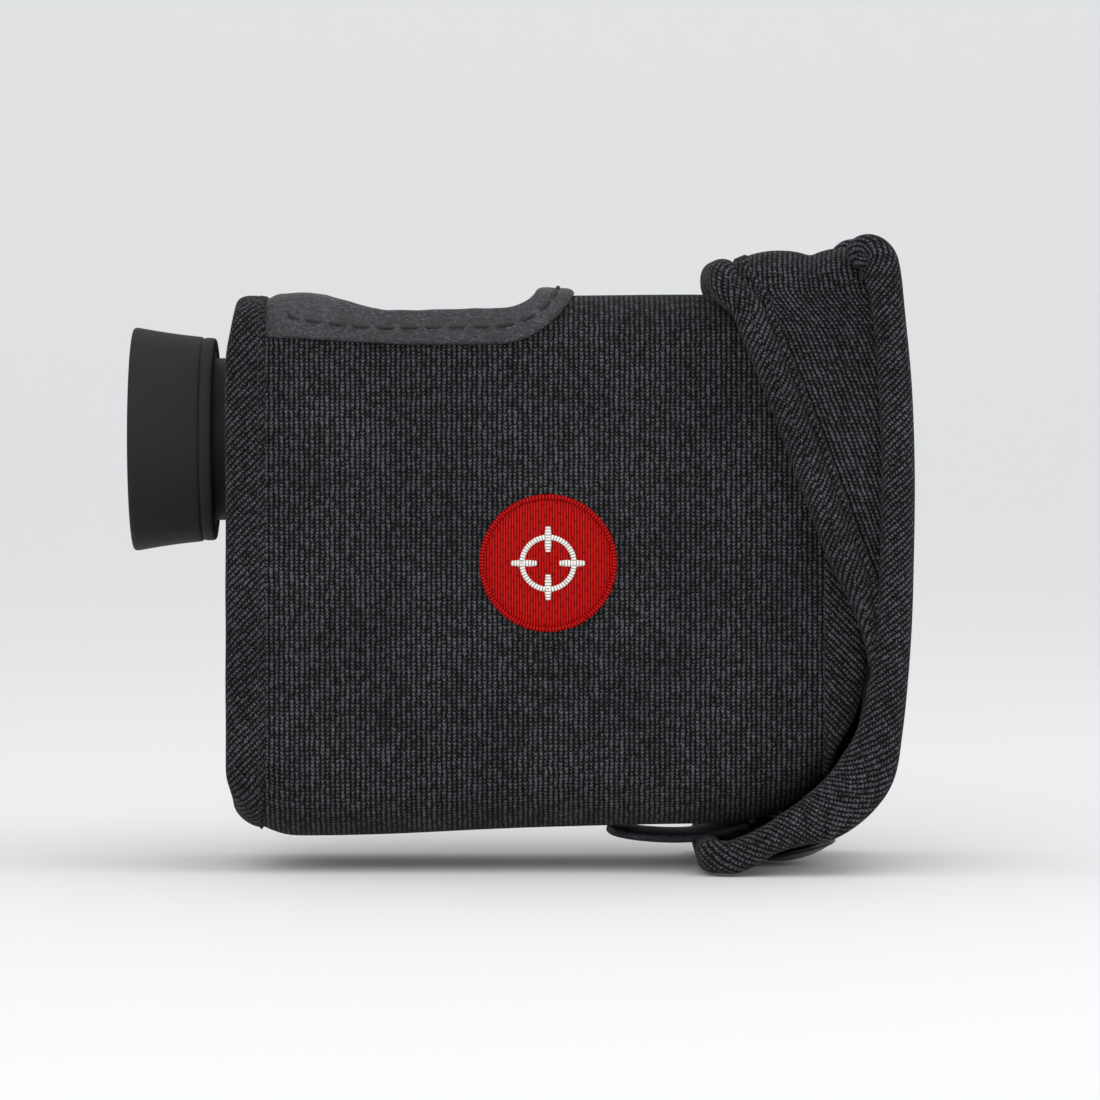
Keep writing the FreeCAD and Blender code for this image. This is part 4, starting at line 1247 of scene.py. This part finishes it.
class RANGE_OT_hood(bpy.types.Operator):
    """Build the hood: front strip, folded roof and sides, and its rolled edges"""
    bl_idname = "rangefinder.hood"
    bl_label = "Hood"

    def execute(self, context):
        cloth = context.scene.range_cloth
        knit = sleeve_material(cloth, 90.0, "ribbed_knit_across")
        side_knit = sleeve_material(cloth, 90.0, "ribbed_knit_hood")
        tape = sleeve_material(cloth, 40.0, "bias_knit_roll")
        for piece, material, slot, nodes in [
                (hood_front(), knit, "sleeve_cloth", ["hood_front_panel"]),
                (hood_roll(1), tape, "binding", ["hood_left_edge_binding"]),
                (hood_roll(-1), tape, "binding", ["hood_right_edge_binding"])]:
            finish_piece(piece, material, slot, None, nodes)
            apply_stack(piece)
            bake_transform(piece)
        finish_piece(hood_shell(), side_knit, "sleeve_cloth", "hood",
                     ["hood_roof_panel", "hood_left_gusset", "hood_right_gusset"])
        finish_piece(mouth_roll(), tape, "binding", "hood", ["hood_mouth_binding"])
        finish_piece(mouth_piping(), tape, "binding", "hood")
        return {"FINISHED"}


class RANGE_OT_tail(bpy.types.Operator):
    """Build the tail under the sleeve, its snap and its pull tab"""
    bl_idname = "rangefinder.tail"
    bl_label = "Tail and snap"

    def execute(self, context):
        cloth = context.scene.range_cloth
        knit = sleeve_material(cloth, 90.0, "ribbed_knit_tail")
        tape = sleeve_material(cloth, 40.0, "bias_knit_tail_roll")
        for piece, material, slot, nodes in [
                (tail_cloth(), knit, "sleeve_cloth", ["tail_panel"]),
                (tail_roll(), tape, "binding", ["tail_edge_binding"])]:
            finish_piece(piece, material, slot, None, nodes)
            apply_stack(piece)
            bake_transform(piece)
        gloss = moulded("polished_acetal", "#040404", "#08080a", 0.3, 0.6, 0.004,
                        Specular_IOR_Level=0.35)
        hide = creased_leather("strap_leather", "#15171b", "#25282e", "#3f434b")
        finish_piece(snap_disc(), gloss, "snap", "tail", ["snap_cap"])
        finish_piece(leather_tab(), hide, "leather", "tail", ["pull_tab"])
        return {"FINISHED"}


class RANGE_OT_finder(bpy.types.Operator):
    """Build the eyecup and finish the finder's own parts"""
    bl_idname = "rangefinder.finder"
    bl_label = "Finder"

    def execute(self, context):
        rubber = moulded("moulded_rubber", "#0b0c0d", "#17191b", 0.66, 0.28, 0.05,
                         Specular_IOR_Level=0.3)
        finish_piece(rubber_cup(), rubber, "eyecup", "diopter", ["eyecup"])
        made = {
            "housing": moulded("rubber_armour", "#101113", "#1d1f21", 0.62, 0.45, 0.09),
            "seal": moulded("silicone_seal", "#0a0a0b", "#141416", 0.7, 0.5, 0.02),
            "bezel": moulded("satin_abs", "#0b0b0c", "#161718", 0.38, 0.5, 0.01, Coat_Weight=0.2),
            "screws": machined("passivated_steel", "#6e7073", "#9a9c9f", 0.32),
            "barrels": machined("black_anodised_aluminium", "#08090a", "#1b1c1e", 0.42),
            "lenses": coated_glass("coated_optical_glass", ("#b9d2c4", "#cfe0ea")),
            "laser_glass": coated_glass("laser_window_glass", ("#5e1620", "#7a2430")),
            "metal_can": machined("nickel_plated_can", "#8b8c8e", "#b9babc", 0.28),
            "inner_plastic": moulded("glass_filled_nylon", "#141516", "#222426", 0.6, 0.5, 0.04),
            "display": coated_glass("display_glass", ("#8fa3a0", "#a6b8b4"), 0.08),
            "eyepiece": moulded("matt_polycarbonate", "#060607", "#0e0f10", 0.55, 0.35, 0.02,
                                Specular_IOR_Level=0.25),
            "button": moulded("soft_touch_button", "#1b1c1e", "#2b2d2f", 0.55, 0.35, 0.03),
            "circuit_board": moulded("solder_mask_laminate", "#0c3d20", "#14552e", 0.35, 0.6, 0.01),
            "battery": machined("printed_battery_sleeve", "#77797c", "#a8aaad", 0.3),
            "spring": machined("gold_flashed_leaf", "#b08d3c", "#d6b863", 0.25),
            "cap": moulded("moulded_cap", "#0f1011", "#1c1d1f", 0.5, 0.4, 0.03),
            "snap_metal": machined("black_nickel_brass", "#2a2826", "#4d4a46", 0.25),
            "eyecup": rubber,
        }
        slots = {entry["node"]: entry["material_slot"] for entry in frame["record"]["subparts"]}
        for name, node in frame["nodes"].items():
            if slots.get(name) in made:
                node.data.materials.clear()
                node.data.materials.append(made[slots[name]])
        return {"FINISHED"}


class RANGE_OT_stage(bpy.types.Operator):
    """Build the pale sweep, the soft lights and the camera"""
    bl_idname = "rangefinder.stage"
    bl_label = "Stage"

    def execute(self, context):
        stage = context.scene.range_stage
        sheet, tree, principled = shader("seamless_paper", Roughness=0.9)
        faint = object_noise(tree, 250.0)
        tree.links.new(ramp(tree, faint, [(0.0, stage.floor), (1.0, stage.floor)]),
                       principled.inputs["Base Color"])
        rows = []
        for y, z in [(-2500, 0), (-800, 0), (0, 0), (700, 0), (1100, 30), (1400, 150), (1600, 420),
                     (1650, 900), (1650, 2600)]:
            rows.append([Vector((x, y, z - 0.4)) for x in (-3000, -1000, 0, 1000, 3000)])
        floor = loft("paper_sweep", rows, away=(0, 3000, -1500))
        floor.data.materials.append(sheet)
        round_off(floor, 2)
        world = context.scene.world or bpy.data.worlds.new("studio")
        context.scene.world = world
        context.scene.view_settings.view_transform = "Standard"
        world.use_nodes = True
        background = world.node_tree.nodes["Background"]
        background.inputs["Color"].default_value = colour("#f4f6f8")
        background.inputs["Strength"].default_value = 0.93
        for name, place, size, power in [
                ("overhead_softbox", (0.15, -0.25, 0.95), 0.9, 2.1),
                ("front_fill", (-0.35, -1.1, 0.55), 0.8, 4.0),
                ("nose_kicker", (0.85, -0.25, 0.35), 0.5, 1.6)]:
            lamp = bpy.data.lights.new(name, "AREA")
            lamp.energy = power
            lamp.size = size
            light = bpy.data.objects.new(name, lamp)
            light.location = place
            aim = Vector((0, 0, 0.05)) - Vector(place)
            light.rotation_euler = aim.to_track_quat("-Z", "Y").to_euler()
            context.scene.collection.objects.link(light)
        lens = bpy.data.cameras.new("main_camera")
        camera = bpy.data.objects.new("main_camera", lens)
        middle = CAMERA_AIM * MM
        back = Vector((0.0, -math.cos(stage.elevation), math.sin(stage.elevation)))
        camera.location = middle + back * stage.distance
        camera.rotation_euler = (middle - camera.location).to_track_quat("-Z", "Y").to_euler()
        lens.sensor_width = SENSOR_WIDTH
        lens.lens = SENSOR_WIDTH * stage.distance / (FIELD_WIDTH * MM)
        lens.clip_start = 0.01
        context.scene.collection.objects.link(camera)
        context.scene.camera = camera
        return {"FINISHED"}


STEPS = [RANGE_OT_stage, RANGE_OT_finder, RANGE_OT_sleeve, RANGE_OT_trim, RANGE_OT_hood,
         RANGE_OT_tail]


class RANGE_PT_panel(bpy.types.Panel):
    """Sidebar panel that lists the settings and the build steps"""
    bl_label = "Rangefinder"
    bl_idname = "RANGE_PT_panel"
    bl_space_type = "VIEW_3D"
    bl_region_type = "UI"
    bl_category = "Rangefinder"

    def draw(self, context):
        layout = self.layout
        for group in ("range_cloth", "range_trim", "range_stage"):
            settings = getattr(context.scene, group)
            for key in settings.__annotations__:
                layout.prop(settings, key)
        for step in STEPS:
            layout.operator(step.bl_idname)


CLASSES = [ClothSettings, TrimSettings, StageSettings, *STEPS, RANGE_PT_panel]


def register():
    for cls in CLASSES:
        bpy.utils.register_class(cls)
    bpy.types.Scene.range_cloth = bpy.props.PointerProperty(type=ClothSettings)
    bpy.types.Scene.range_trim = bpy.props.PointerProperty(type=TrimSettings)
    bpy.types.Scene.range_stage = bpy.props.PointerProperty(type=StageSettings)


def unregister():
    del bpy.types.Scene.range_cloth
    del bpy.types.Scene.range_trim
    del bpy.types.Scene.range_stage
    for cls in reversed(CLASSES):
        bpy.utils.unregister_class(cls)


def main():
    """Builds everything in order."""
    register()
    bpy.ops.rangefinder.stage()
    bpy.ops.rangefinder.finder()
    bpy.ops.rangefinder.sleeve()
    bpy.ops.rangefinder.trim()
    bpy.ops.rangefinder.hood()
    bpy.ops.rangefinder.tail()


if __name__ == "__main__":
    main()
